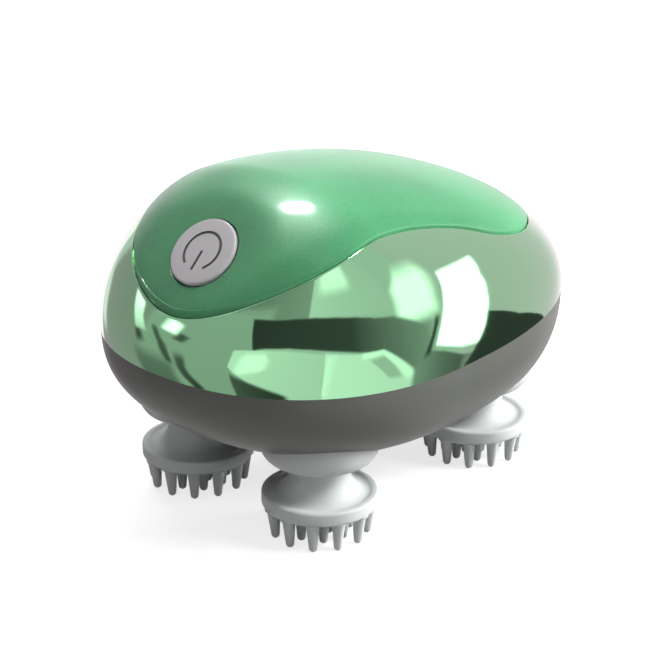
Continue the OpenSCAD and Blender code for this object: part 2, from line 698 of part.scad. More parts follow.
// The rings of fingers, as [radius, count, lean]
RINGS = [[outer_ring_r, 12, finger_lean], [middle_ring_r, 8, 0], [inner_ring_r, 4, 0]];
rim_top = finger_len + rim_h;
rim_curve = [for (a = [0:30:90]) [disc_r - RIM_ROUND * (1 - sin(a)), finger_len + RIM_ROUND * (1 - cos(a))]];
trumpet = [for (k = [0:TRUMPET_STEPS]) let (a = 90 * k / TRUMPET_STEPS)
    [neck_r + (disc_r - LIP_W - neck_r) * (1 - sin(a)), rim_top - LIP_DROP + trumpet_h * (1 - cos(a))]];
module massage_head(turn) color("#d0d3d3") difference() {
    rotate([0, 0, turn]) union() {
        rotate_extrude() polygon(concat([[0, finger_len]], rim_curve, [[disc_r, rim_top - LIP_ROUND],
            [disc_r - LIP_ROUND, rim_top], [disc_r - LIP_W + LIP_ROUND, rim_top]],
            trumpet, [[neck_r, neck_top], [0, neck_top]]));
        for (r = RINGS) for (k = [0:r[1] - 1]) finger(r[0], 360 * k / r[1], r[2]);
    }
    translate([0, 0, hub_low]) cylinder(r = hub_r, h = neck_top);
    translate([0, 0, hub_low]) cylinder(r = hub_flange_r, h = hub_flange_h);
}

// ---- gears ----
function involute(a) = tan(a) * 180 / PI - a;
// One flank point at a radius, as [angle from the tooth's middle, radius]
function flank(r, pitch_r, base_r, half_angle) =
    [half_angle + involute(PRESSURE) - (r > base_r ? involute(acos(base_r / r)) : 0), r];
module gear_plan(teeth, gear_module) {
    pitch_r = gear_module * teeth / 2;
    base_r = pitch_r * cos(PRESSURE);
    tip_r = pitch_r + ADDENDUM * gear_module;
    root_r = pitch_r - DEDENDUM * gear_module;
    half_angle = 90 / teeth - tooth_play / pitch_r * 180 / PI;
    low_r = max(base_r, root_r + ROOT_STEP);
    side = [for (k = [0:FLANK_POINTS])
        flank(low_r + (tip_r - low_r) * k / FLANK_POINTS, pitch_r, base_r, half_angle)];
    foot_angle = side[0][0];
    tooth = concat([[-foot_angle, root_r]], [for (s = side) [-s[0], s[1]]],
        [for (k = [FLANK_POINTS:-1:0]) side[k]], [[foot_angle, root_r]]);
    polygon([for (i = [0:teeth - 1]) for (t = tooth) let (a = 360 * i / teeth + t[0])
        t[1] * [cos(a), sin(a)]]);
}
module gear(teeth, gear_module, turn, z, face) translate([0, 0, z]) rotate([0, 0, turn])
    linear_extrude(height = face) gear_plan(teeth, gear_module);
module output_gear(front, left) color("#e8e4d8") difference() {
    gear(out_teeth, drive_module, mesh_turn(head_dir(front, left), sun_teeth, 0, out_teeth),
        drive_z, drive_face);
    translate([0, 0, drive_z - HOLE_PAST]) linear_extrude(height = drive_face + 2 * HOLE_PAST) shaft_section();
    web_cuts(out_teeth, shaft_r);
}
// Round windows that lighten the web of a wheel with the given bore
module web_cuts(teeth, bore) {
    hub = bore + WEB_WALL;
    rim = drive_module * teeth / 2 - WEB_WALL;
    for (k = [0:WEB_WINDOWS - 1]) rotate([0, 0, 360 * k / WEB_WINDOWS])
        translate([(hub + rim) / 2, 0, drive_z - HOLE_PAST])
            cylinder(r = (rim - hub) / 2 * WINDOW_SHARE, h = drive_face + 2 * HOLE_PAST);
}
module sun_gear() color("#efe9d6") translate(sun_pos) difference() {
    gear(sun_teeth, drive_module, 0, drive_z, drive_face);
    translate([0, 0, drive_z - HOLE_PAST]) cylinder(r = sun_arbor_r + run_fit, h = drive_face + 2 * HOLE_PAST);
    web_cuts(sun_teeth, sun_arbor_r);
}
module sun_arbor() arbor(sun_pos, sun_arbor_r);
module second_gear() color("#e3ddc8") translate(second_pos) difference() {
    union() {
        gear(last_pinion_teeth, drive_module, second_turn, drive_z, drive_face);
        translate([0, 0, drive_z + drive_face - NECK_BITE])
            cylinder(r = GEAR_NECK, h = layer_gap + 2 * NECK_BITE);
        gear(second_wheel_teeth, fast_module, second_turn, layer2_z, fast_face);
    }
    translate([0, 0, drive_z - HOLE_PAST]) cylinder(r = arbor_r + run_fit, h = lid_z);
}
module first_gear() color("#e3ddc8") translate(first_pos) difference() {
    union() {
        gear(first_pinion_teeth, fast_module, first_turn, layer2_z, fast_face);
        translate([0, 0, layer2_z + fast_face - NECK_BITE])
            cylinder(r = FAST_NECK, h = layer_gap + 2 * NECK_BITE);
        gear(first_wheel_teeth, fast_module, first_turn, layer3_z, fast_face);
    }
    translate([0, 0, layer2_z - HOLE_PAST]) cylinder(r = arbor_r + run_fit, h = lid_z);
}
module arbor(pos, r) color("silver") translate([pos[0], pos[1], base_z]) cylinder(r = r, h = lid_top - base_z);
module second_arbor() arbor(second_pos, arbor_r);
// The first wheel's arbor hangs from the lid, clear of the sun gear; its head carries the wheel
module first_arbor() color("silver") translate([first_pos[0], first_pos[1], layer2_z - ARBOR_PLAY]) {
    translate([0, 0, -ARBOR_HEAD_H]) cylinder(r = arbor_r + ARBOR_LIP, h = ARBOR_HEAD_H);
    cylinder(r = arbor_r, h = lid_top - layer2_z + ARBOR_PLAY);
}

// ---- the gearbox ----
module gearbox_base() color("#6e7072") difference() {
    union() {
        translate([0, 0, base_z]) linear_extrude(height = base_t) difference() {
            egg_plan(base_z, low_wall + plate_gap);
            for (b = BOSSES) translate(b) circle(r = boss_r + plate_gap);
            translate([port_wall_x - plate_gap, -half_len]) square(2 * half_len);
        }
        for (p = POSTS) translate([p[0], p[1], base_z]) cylinder(r = post_r, h = lid_z - base_z);
        at_each_head() translate([0, 0, base_z - BEARING_DROP])
            cylinder(r = bearing_out_r, h = BEARING_DROP + base_t);
    }
    at_each_head() cylinder(r = shaft_r + run_fit, h = drive_z);
    for (p = POSTS) translate([p[0], p[1], base_z - HOLE_PAST]) cylinder(r = screw_r + SCREW_PLAY, h = lid_z);
    plate_hole(sun_pos, sun_arbor_r, base_z, base_t);
    plate_hole(second_pos, arbor_r, base_z, base_t);
}
module plate_hole(pos, r, z, plate_t) translate([pos[0], pos[1], z - HOLE_PAST])
    cylinder(r = r, h = plate_t + 2 * HOLE_PAST);
module gearbox_lid() color("#7a7c7e") difference() {
    union() {
        translate([0, 0, lid_z]) linear_extrude(height = lid_t) difference() {
            egg_plan(lid_top, plated_wall + lid_inset);
            for (b = BOSSES) translate(b) circle(r = boss_r + plate_gap);
        }
        at_each_head() translate([0, 0, bearing_low]) cylinder(r = bearing_out_r, h = lid_z - bearing_low);
    }
    at_each_head() translate([0, 0, bearing_low - HOLE_PAST])
        cylinder(r = shaft_r + run_fit, h = shaft_top + SHAFT_END_PLAY - bearing_low + HOLE_PAST);
    for (p = POSTS) plate_hole(p, screw_r + SCREW_PLAY, lid_z, lid_t);
    plate_hole(sun_pos, sun_arbor_r, lid_z, lid_t);
    plate_hole(second_pos, arbor_r, lid_z, lid_t);
    plate_hole(first_pos, arbor_r, lid_z, lid_t);
    plate_hole(motor_pos, motor_nose_r + SCREW_PLAY, lid_z, lid_t);
    for (s = [-1, 1]) plate_hole([motor_pos[0] + s * motor_screw_at, motor_pos[1]], motor_screw_r + SCREW_PLAY,
        lid_z, lid_t);
}
module gearbox_screws() color("silver") for (p = POSTS) translate([p[0], p[1], lid_top + SCREW_HEAD_H])
    rotate([180, 0, 0]) screw(lid_top - base_z + POST_BITE - SCREW_SHORT);

// ---- the motor ----
module motor_can() color("#b9bcc0") translate([motor_pos[0], motor_pos[1], lid_top]) difference() {
    union() {
        cylinder(r = motor_r, h = motor_len);
        translate([0, 0, -motor_nose_h]) cylinder(r = motor_nose_r, h = motor_nose_h);
    }
    translate([0, 0, CAN_WALL]) cylinder(r = motor_r - CAN_WALL, h = motor_len);
    translate([0, 0, -motor_nose_h - HOLE_PAST]) cylinder(r = rotor_r + run_fit, h = motor_len);
    for (s = [-1, 1]) translate([s * motor_screw_at, 0, -HOLE_PAST])
        cylinder(r = motor_screw_r, h = CAN_WALL + 2 * HOLE_PAST);
}
module motor_cap() color("#2a2a2c") translate([motor_pos[0], motor_pos[1], lid_top + motor_len]) {
    cylinder(r = motor_r - CAN_WALL / 2, h = CAP_H);
    for (s = [-1, 1]) translate([s * motor_r / 2 - TAB[0] / 2, -TAB[1] / 2, CAP_H]) cube(TAB);
}
module motor_shaft() color("silver") translate([motor_pos[0], motor_pos[1], layer3_z])
    cylinder(r = rotor_r, h = lid_top - layer3_z + motor_len - ROTOR_SHORT);
module motor_pinion() color("#c9a54a") translate([motor_pos[0], motor_pos[1], 0]) difference() {
    gear(motor_pinion_teeth, fast_module, motor_turn, layer3_z, fast_face);
    translate([0, 0, layer3_z - HOLE_PAST]) cylinder(r = rotor_r, h = fast_face + 2 * HOLE_PAST);
}
module motor_screws() color("silver") for (s = [-1, 1])
    translate([motor_pos[0] + s * motor_screw_at, motor_pos[1], lid_z - motor_screw_head_h]) {
        cylinder(r = motor_screw_head_r, h = motor_screw_head_h);
        cylinder(r = motor_screw_r, h = motor_screw_head_h + lid_t + CAN_WALL);
    }

// ---- power and boards ----
cell_pos = [CELL_X, motor_pos[1] - motor_r - cell_r - CELL_AIR, lid_top + cell_r + CELL_LIFT];
// The cell lies along the body; its length runs from the button end's side
module along_cell() translate(cell_pos - [cell_len / 2, 0, 0]) rotate([0, 90, 0]) children();
module battery_cell() color("#3f7fbf") along_cell() {
    cylinder(r = cell_r, h = cell_len);
    cylinder(r = TERMINAL_R, h = cell_len + TERMINAL_H);
}
module battery_cradle() color("#39393b") {
    bed_len = cell_len + TERMINAL_H + CRADLE_PLAY;
    difference() {
        translate([cell_pos[0] - cell_len / 2 - CRADLE_END, cell_pos[1] - cell_r + CRADLE_IN, lid_top])
            cube([bed_len + 2 * CRADLE_END, 2 * (cell_r - CRADLE_IN), CELL_LIFT + cell_r - CRADLE_OPEN]);
        along_cell() cylinder(r = cell_r, h = bed_len);
    }
}
module main_board() color("#2f6b3c") translate([main_board_x, -main_board_w / 2, lid_top]) {
    translate([0, 0, BOARD_LIFT]) cube([main_board_l, main_board_w, board_t]);
    for (x = [BOARD_POST_IN, main_board_l - BOARD_POST_IN])
        for (y = [BOARD_POST_IN, main_board_w - BOARD_POST_IN])
            translate([x, y, 0]) cylinder(r = BOARD_POST_R, h = BOARD_LIFT);
    translate([CHIP_AT[0], CHIP_AT[1], BOARD_LIFT + board_t]) cube(CHIP);
    translate([PLUG_AT[0], PLUG_AT[1], BOARD_LIFT + board_t]) cube(PLUG);
}

// ---- the charging port at the tail ----
port_tail_x = belly_x + (half_len - belly_x) * lame((seam_z - port_z) / belly_drop, belly_tail_n);
port_wall_x = port_tail_x - PORT_DEEP;
flap_pin_x = port_tail_x - flap_pin_in;
flap_pin_z = port_z - flap_r - flap_pin_drop;
// A slot with round ends: w and h are its outer sizes
module slot_plan(w, h) {
    square([w - h, h], center = true);
    for (s = [-1, 1]) translate([s * (w - h) / 2, 0]) circle(r = h / 2);
}
module flap_plan(grow) slot_plan(flap_span + 2 * (flap_r + grow), 2 * (flap_r + grow));
// An outline drawn across the tail and pushed along +X
module tailwards(x, length) translate([x, 0, port_z]) rotate([90, 0, 90])
    linear_extrude(height = length) children();
module at_flap_pin() translate([flap_pin_x, 0, flap_pin_z]) rotate([90, 0, 0]) children();
module port_block() translate([port_wall_x, -port_box_w / 2, port_box_low])
    cube([2 * PORT_DEEP, port_box_w, port_box_top - port_box_low]);
module port_cut() {
    barrel_room = flap_barrel_r + flap_gap;
    barrel_span = flap_barrel_len + 2 * flap_gap;
    // The neck swings down below the pin when the flap opens
    neck_room = max(barrel_room, flap_pin_in - flap_t + NECK_LAP + flap_gap);
    tailwards(port_tail_x - flap_t - flap_gap, 2 * PORT_DEEP) flap_plan(flap_gap);
    tailwards(port_wall_x - HOLE_PAST, 2 * PORT_DEEP) slot_plan(socket_w, socket_h);
    at_flap_pin() {
        cylinder(r = flap_pin_r, h = flap_pin_len, center = true);
        cylinder(r = barrel_room, h = barrel_span, center = true);
    }
    translate([flap_pin_x, -barrel_span / 2, flap_pin_z - neck_room])
        cube([2 * PORT_DEEP, barrel_span, neck_room + flap_pin_drop + flap_r]);
}
module port_flap() color("#4d4a47") difference() {
    union() {
        intersection() {
            tailwards(port_tail_x - flap_t, 2 * PORT_DEEP) flap_plan(0);
            half_egg(-1);
        }
        at_flap_pin() cylinder(r = flap_barrel_r, h = flap_barrel_len, center = true);
        translate([flap_pin_x, -flap_barrel_len / 2, flap_pin_z])
            cube([flap_pin_in - flap_t + NECK_LAP, flap_barrel_len, flap_pin_drop + NECK_LAP]);
    }
    at_flap_pin() cylinder(r = flap_pin_r + run_fit, h = flap_pin_len, center = true);
}
module flap_pin() color("silver") at_flap_pin() cylinder(r = flap_pin_r, h = flap_pin_len, center = true);
charge_board_z = port_z - socket_h / 2;
module charge_board() color("#2f6b3c") {
    translate([port_wall_x - charge_board_l, -charge_board_w / 2, charge_board_z - board_t])
        cube([charge_board_l, charge_board_w, board_t]);
    for (s = [-1, 1])
        translate([port_wall_x - charge_board_l / 2, s * (charge_board_w / 2 - BOARD_POST_IN),
            base_z + base_t])
            cylinder(r = BOARD_POST_R, h = charge_board_z - board_t - base_z - base_t);
}
module charge_socket() color("silver") {
    socket_x = port_wall_x - SOCKET_IN;
    socket_l = port_tail_x - flap_t - flap_gap - socket_x;
    difference() {
        tailwards(socket_x, socket_l) slot_plan(socket_w, socket_h);
        tailwards(socket_x + SOCKET_BACK, socket_l)
            slot_plan(socket_w - 2 * SOCKET_WALL, socket_h - 2 * SOCKET_WALL);
    }
    translate([socket_x, TONGUE_IN - socket_w / 2, port_z - TONGUE_T / 2])
        cube([socket_l - TONGUE_SHORT, socket_w - 2 * TONGUE_IN, TONGUE_T]);
}

lower_shell();
plated_shell();
top_cover();
shell_gasket();
shell_screws();
power_button();
button_seal();
button_board();
board_screws();
tact_switch();
switch_plunger();
at_head(true, true) collar();  // collar_front_left
at_head(true, false) collar();  // collar_front_right
at_head(false, true) collar();  // collar_rear_left
at_head(false, false) collar();  // collar_rear_right
at_head(true, true) seal();  // seal_front_left
at_head(true, false) seal();  // seal_front_right
at_head(false, true) seal();  // seal_rear_left
at_head(false, false) seal();  // seal_rear_right
at_head(true, true) output_shaft();  // shaft_front_left
at_head(true, false) output_shaft();  // shaft_front_right
at_head(false, true) output_shaft();  // shaft_rear_left
at_head(false, false) output_shaft();  // shaft_rear_right
at_head(true, true) output_gear(true, true);  // gear_front_left
at_head(true, false) output_gear(true, false);  // gear_front_right
at_head(false, true) output_gear(false, true);  // gear_rear_left
at_head(false, false) output_gear(false, false);  // gear_rear_right
at_head(true, true) head_hub();  // hub_front_left
at_head(true, false) head_hub();  // hub_front_right
at_head(false, true) head_hub();  // hub_rear_left
at_head(false, false) head_hub();  // hub_rear_right
at_head(true, true) massage_head(head_turn(true, true));  // head_front_left
at_head(true, false) massage_head(head_turn(true, false));  // head_front_right
at_head(false, true) massage_head(head_turn(false, true));  // head_rear_left
at_head(false, false) massage_head(head_turn(false, false));  // head_rear_right
gearbox_base();
gearbox_lid();
gearbox_screws();
sun_gear();
sun_arbor();
second_gear();
second_arbor();
first_gear();
first_arbor();
motor_can();
motor_cap();
motor_shaft();
motor_pinion();
motor_screws();
battery_cell();
battery_cradle();
main_board();
charge_board();
charge_socket();
port_flap();
flap_pin();
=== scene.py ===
import json
import math

import bmesh
import bpy
import numpy as np
from mathutils import Matrix, Vector


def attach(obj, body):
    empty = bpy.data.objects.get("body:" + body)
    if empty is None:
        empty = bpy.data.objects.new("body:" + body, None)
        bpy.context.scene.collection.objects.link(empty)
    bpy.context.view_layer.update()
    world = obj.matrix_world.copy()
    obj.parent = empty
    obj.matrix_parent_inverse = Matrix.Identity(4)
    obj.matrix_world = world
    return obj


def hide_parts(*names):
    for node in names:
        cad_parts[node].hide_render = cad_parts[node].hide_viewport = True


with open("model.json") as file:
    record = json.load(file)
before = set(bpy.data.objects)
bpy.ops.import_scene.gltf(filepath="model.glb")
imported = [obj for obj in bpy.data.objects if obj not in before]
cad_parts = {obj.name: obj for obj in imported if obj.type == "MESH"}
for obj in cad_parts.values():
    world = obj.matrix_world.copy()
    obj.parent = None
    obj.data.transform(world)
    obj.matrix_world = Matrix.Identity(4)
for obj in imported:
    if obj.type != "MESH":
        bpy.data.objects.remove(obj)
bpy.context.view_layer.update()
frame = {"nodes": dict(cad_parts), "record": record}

# ---- Lower shell ----
# The dark lower half of the egg: one injection-moulded skin in matte grey plastic with a fine
# spark-eroded texture. Round holes take the four collars, and deep recesses take the screws.
# It meets the plated shell at the seam and has the charging slot in its tail.
MM = 0.001
HALF_LEN, HALF_WIDE, SEAM_Z = 55.5, 42.5, 39.1
WIDE_X, PLAN_N = -11.0, (2.2, 2.35)
BELLY_X, BELLY_DROP, BELLY_N = 20.0, 27.0, (2.45, 1.9)
LOW_SECTION_N = 2.4
LOW_WALL = 2.0
HEADS = {"front_left": (-27.8086, -18.2169), "front_right": (-27.8086, 18.2169),
         "rear_left": (24.8086, -18.2169), "rear_right": (24.8086, 18.2169)}
COLLAR_HOLE_R, COLLAR_HOLE_TOP = 12.8, 28
BOSSES = [(-45, -9), (-45, 9), (44, -14), (44, 14)]
BOSS_R, BOSS_LIFT = 3, 1
RECESS_R, RECESS_TOP, SCREW_HOLE_R, SCREW_HOLE_TOP = 2.55, 26, 1.4, 42
PORT_Z, PORT_TAIL_X, PORT_WALL_X = 33.2, 54.4472, 48.4472
BLOCK_HALF, BLOCK_LOW, BLOCK_TOP, BLOCK_INSET, BLOCK_LEAN = 8, 27.4, 37.4, 1.2, 2.8
FLAP_R, FLAP_SPREAD, FLAP_SINK = 3.7, 6.4, 2.3
SLOT_WIDE, SLOT_HIGH, SLOT_END = 9, 3.2, 56
FLAP_PIN_X, FLAP_PIN_Z = 51.7472, 29.3
HINGE_HALF, HINGE_DOWN, HINGE_UP = 3.3, 1.4, 3.9
PAST_TAIL = 60


def lame(t, n):
    """A quarter of a superellipse: 1 at the peak and 0 at the end."""
    return np.maximum(0, 1 - np.clip(t, 0, 1) ** n) ** (1 / n)


def along(x, peak, n, grow):
    """A share of the full size at x: 1 at the peak, 0 at the nose and at the tail."""
    nose = (peak - x) / (peak + HALF_LEN + grow)
    tail = (x - peak) / (HALF_LEN - peak + grow)
    return np.where(x < peak, lame(nose, n[0]), lame(tail, n[1]))


def half_width(x, grow=0.0):
    return (HALF_WIDE + grow) * along(x, WIDE_X, PLAN_N, grow)


def belly(x, grow=0.0):
    return (BELLY_DROP + grow) * along(x, BELLY_X, BELLY_N, grow)


def low_skin(grow, stations, steps):
    """Rows of points round the lower half of the egg, from one rim to the other, with a tip at each end."""
    x = -(HALF_LEN + grow) * np.cos(np.pi * np.arange(1, stations) / stations)
    a = np.pi * np.arange(steps + 1) / steps
    c, s = np.cos(a), np.maximum(np.sin(a), 0)
    y = half_width(x, grow)[:, None] * (np.sign(c) * np.abs(c) ** (2 / LOW_SECTION_N))[None]
    z = SEAM_Z - belly(x, grow)[:, None] * (s ** (2 / LOW_SECTION_N))[None]
    rows = np.stack([np.repeat(x[:, None], steps + 1, 1), y, z], -1)
    tips = np.array([[-HALF_LEN - grow, 0, SEAM_Z], [HALF_LEN + grow, 0, SEAM_Z]])
    return np.concatenate([rows.reshape(-1, 3), tips])


def low_skin_faces(stations, steps, first):
    """Quads between the rows and fans to the tips, facing outwards, with indices from first on."""
    row, rows = steps + 1, stations - 1
    faces = [[i * row + j, i * row + j + 1, (i + 1) * row + j + 1, (i + 1) * row + j]
             for i in range(rows - 1) for j in range(steps)]
    nose, tail = rows * row, rows * row + 1
    faces += [[nose, j + 1, j] for j in range(steps)]
    faces += [[tail, (rows - 1) * row + j, (rows - 1) * row + j + 1] for j in range(steps)]
    return [[first + k for k in f] for f in faces]


def new_piece(name, points, faces, body, slot, sharp=32):
    """A mesh object from points in millimetres, smooth except at its edges, that rides on a body."""
    mesh = bpy.data.meshes.new(name)
    mesh.from_pydata([Vector(p) * MM for p in points], [], faces)
    mesh.validate()
    piece = bpy.data.objects.new(name, mesh)
    bpy.context.scene.collection.objects.link(piece)
    shade(piece, sharp)
    if body:
        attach(piece, body)
    return piece


def shade(piece, sharp):
    mesh = piece.data
    mesh.polygons.foreach_set("use_smooth", [True] * len(mesh.polygons))
    mesh.set_sharp_from_angle(angle=math.radians(sharp))
    mesh.update()


def turned(profile, steps=128, at=(0, 0, 0), closed=False):
    """Points and faces of a profile of (radius, height) turned round the vertical through at."""
    points, faces, rings = [], [], []
    for r, z in profile:
        if r < 1e-9:
            rings.append([len(points)])
            points.append((at[0], at[1], at[2] + z))
            continue
        rings.append(list(range(len(points), len(points) + steps)))
        points += [(at[0] + r * math.cos(2 * math.pi * k / steps),
                    at[1] + r * math.sin(2 * math.pi * k / steps), at[2] + z) for k in range(steps)]
    pairs = list(zip(rings, rings[1:])) + ([(rings[-1], rings[0])] if closed else [])
    for a, b in pairs:
        for k in range(steps):
            m = (k + 1) % steps
            quad = [a[k % len(a)], a[m % len(a)], b[m % len(b)], b[k % len(b)]]
            faces.append(list(dict.fromkeys(quad)))
    return points, faces


def join(*parts):
    """One list of points and one of faces from several."""
    points, faces = [], []
    for p, f in parts:
        faces += [[len(points) + k for k in face] for face in f]
        points += [tuple(q) for q in p]
    return points, faces


def box_mesh(low, high, lean=0.0):
    """A box; `lean` draws its lower outer edge back along the body."""
    corners = [(x, y, z) for z in (low[2], high[2]) for y in (low[1], high[1]) for x in (low[0], high[0])]
    corners = [(x - (lean if x == high[0] and z == low[2] else 0), y, z) for x, y, z in corners]
    return corners, [[0, 2, 3, 1], [4, 5, 7, 6], [0, 1, 5, 4], [1, 3, 7, 5], [3, 2, 6, 7], [2, 0, 4, 6]]


def slot_prism(x0, x1, z, wide, high, steps=24):
    """A slot with round ends, drawn across the tail and pushed along the body."""
    r = high / 2
    rim = []
    for side in (1, -1):
        for k in range(steps + 1):
            a = math.pi * k / steps - math.pi / 2
            rim.append((side * ((wide / 2 - r) + r * math.cos(a)), z + side * r * math.sin(a)))
    n = len(rim)
    points = [(x0, y, h) for y, h in rim] + [(x1, y, h) for y, h in rim]
    faces = [[k, (k + 1) % n, n + (k + 1) % n, n + k] for k in range(n)]
    return points, faces + [list(range(n))[::-1], list(range(n, 2 * n))]


def combine(piece, parts, operation):
    """Adds closed solids to a piece or cuts them out of it."""
    points, faces = join(*parts)
    tool = new_piece("tool", points, faces, None, None)
    tidy = bmesh.new()
    tidy.from_mesh(tool.data)
    bmesh.ops.recalc_face_normals(tidy, faces=tidy.faces)
    tidy.to_mesh(tool.data)
    tidy.free()
    step = piece.modifiers.new("cut", "BOOLEAN")
    step.object, step.operation, step.solver = tool, operation, "EXACT"
    step.use_self = len(parts) > 1
    made = bpy.data.meshes.new_from_object(piece.evaluated_get(bpy.context.evaluated_depsgraph_get()))
    piece.modifiers.clear()
    piece.data = made
    bpy.data.objects.remove(tool)


def low_z(x, y):
    """The height of the egg's underside."""
    return SEAM_Z - belly(x) * lame(np.abs(y) / half_width(x), LOW_SECTION_N)


def laid_rings(x, y, r, sides=48):
    """Rings from a spot out to radius r, laid on the egg's underside."""
    turn = [2 * math.pi * k / sides for k in range(sides)]
    rings = [np.array([(x + r * s * math.cos(a), y + r * s * math.sin(a)) for a in turn])
             for s in (0.01, 0.35, 0.7, 0.97, 1.0)]
    return [np.column_stack([ring, low_z(ring[:, 0], ring[:, 1])]) for ring in rings]


def ring_skin(rings):
    """A closed skin over a list of rings."""
    n = len(rings[0])
    faces = [[i * n + k, (i + 1) * n + k, (i + 1) * n + (k + 1) % n, i * n + (k + 1) % n]
             for i in range(len(rings) - 1) for k in range(n)]
    faces += [list(range(n)), [(len(rings) - 1) * n + k for k in range(n)][::-1]]
    return np.concatenate(rings), faces


STATIONS, STEPS = ((220, 96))
skin = low_skin(0, STATIONS, STEPS)
lining = low_skin(-LOW_WALL, STATIONS, STEPS)
count = len(skin)
faces = low_skin_faces(STATIONS, STEPS, 0)
faces += [f[::-1] for f in low_skin_faces(STATIONS, STEPS, count)]
row = STEPS + 1
rim = ([count - 2] + [i * row for i in range(STATIONS - 1)] + [count - 1]
       + [i * row + STEPS for i in range(STATIONS - 2, -1, -1)])
for a, b in zip(rim, rim[1:] + rim[:1]):
    faces.append([a, b, count + b, count + a])
lower_shell = new_piece("lower_shell_skin", np.concatenate([skin, lining]), faces, "housing", "dark_shell")
inside = []
for x, y in BOSSES:
    foot = [ring + np.array([0, 0, BOSS_LIFT]) for ring in laid_rings(x, y, BOSS_R)]
    head = [np.column_stack([ring[:, :2], np.full(len(ring), SEAM_Z)]) for ring in foot[::-1]]
    inside.append(ring_skin(foot + head))
inside.append(box_mesh((PORT_WALL_X, -BLOCK_HALF, BLOCK_LOW), (PORT_TAIL_X - BLOCK_INSET, BLOCK_HALF, BLOCK_TOP),
                       lean=BLOCK_LEAN))
combine(lower_shell, inside, "UNION")
holes = [turned([(0, 0), (COLLAR_HOLE_R, 0), (COLLAR_HOLE_R, COLLAR_HOLE_TOP), (0, COLLAR_HOLE_TOP)], 128, (x, y, 0))
         for x, y in HEADS.values()]
screw_hole = [(0, 0), (RECESS_R, 0), (RECESS_R, RECESS_TOP), (SCREW_HOLE_R, RECESS_TOP),
              (SCREW_HOLE_R, SCREW_HOLE_TOP), (0, SCREW_HOLE_TOP)]
holes += [turned(screw_hole, 48, (x, y, 0)) for x, y in BOSSES]
holes.append(slot_prism(PORT_TAIL_X - FLAP_SINK, PAST_TAIL, PORT_Z, FLAP_SPREAD + 2 * FLAP_R, 2 * FLAP_R))
holes.append(slot_prism(PORT_WALL_X - 1, SLOT_END, PORT_Z, SLOT_WIDE, SLOT_HIGH))
holes.append(box_mesh((FLAP_PIN_X, -HINGE_HALF, FLAP_PIN_Z - HINGE_DOWN),
                      (PAST_TAIL, HINGE_HALF, FLAP_PIN_Z + HINGE_UP)))
combine(lower_shell, holes, "DIFFERENCE")
shade(lower_shell, 32)
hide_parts("lower_shell")


def group_sockets(name, inputs, outputs):
    """An empty node group with inputs (name: default) and outputs (name: type)."""
    tree = bpy.data.node_groups.new(name, "ShaderNodeTree")
    for key, default in inputs.items():
        tree.interface.new_socket(key, in_out="INPUT", socket_type="NodeSocketFloat").default_value = default
    for key, kind in outputs.items():
        tree.interface.new_socket(key, in_out="OUTPUT", socket_type=kind)
    return tree, tree.nodes.new("NodeGroupInput"), tree.nodes.new("NodeGroupOutput")


def node(tree, kind, **settings):
    """A new node; each setting is either one of its own or the value of an input."""
    made = tree.nodes.new(kind)
    for key, value in settings.items():
        if key in ("operation", "blend_type", "data_type", "interpolation_type"):
            setattr(made, key, value)
        else:
            made.inputs[key].default_value = value
    return made


# Fine moulded grain: a soft drift of tone, a small drift of gloss, and the height of the texture.
grain, grain_in, grain_out = group_sockets(
    "moulded grain", {"Grain": 2500.0, "Drift": 60.0, "Tone": 0.06, "Gloss": 0.05, "Roughness": 0.5},
    {"Tone": "NodeSocketColor", "Roughness": "NodeSocketFloat", "Height": "NodeSocketFloat"})
place = node(grain, "ShaderNodeTexCoord")
fine = node(grain, "ShaderNodeTexNoise", Detail=2.0, Roughness=0.6)
slow = node(grain, "ShaderNodeTexNoise", Detail=3.0, Roughness=0.5)
grain.links.new(place.outputs["Object"], fine.inputs["Vector"])
grain.links.new(place.outputs["Object"], slow.inputs["Vector"])
grain.links.new(grain_in.outputs["Grain"], fine.inputs["Scale"])
grain.links.new(grain_in.outputs["Drift"], slow.inputs["Scale"])
blend = node(grain, "ShaderNodeMath", operation="ADD")
grain.links.new(fine.outputs["Fac"], blend.inputs[0])
grain.links.new(slow.outputs["Fac"], blend.inputs[1])
centred = node(grain, "ShaderNodeMath", operation="SUBTRACT")
centred.inputs[1].default_value = 1.0
grain.links.new(blend.outputs[0], centred.inputs[0])
tone = node(grain, "ShaderNodeMath", operation="MULTIPLY_ADD")
tone.inputs[2].default_value = 1.0
grain.links.new(centred.outputs[0], tone.inputs[0])
grain.links.new(grain_in.outputs["Tone"], tone.inputs[1])
grain.links.new(tone.outputs[0], grain_out.inputs["Tone"])
drift = node(grain, "ShaderNodeMath", operation="MULTIPLY_ADD")
grain.links.new(centred.outputs[0], drift.inputs[0])
grain.links.new(grain_in.outputs["Gloss"], drift.inputs[1])
grain.links.new(grain_in.outputs["Roughness"], drift.inputs[2])
grain.links.new(drift.outputs[0], grain_out.inputs["Roughness"])
grain.links.new(fine.outputs["Fac"], grain_out.inputs["Height"])


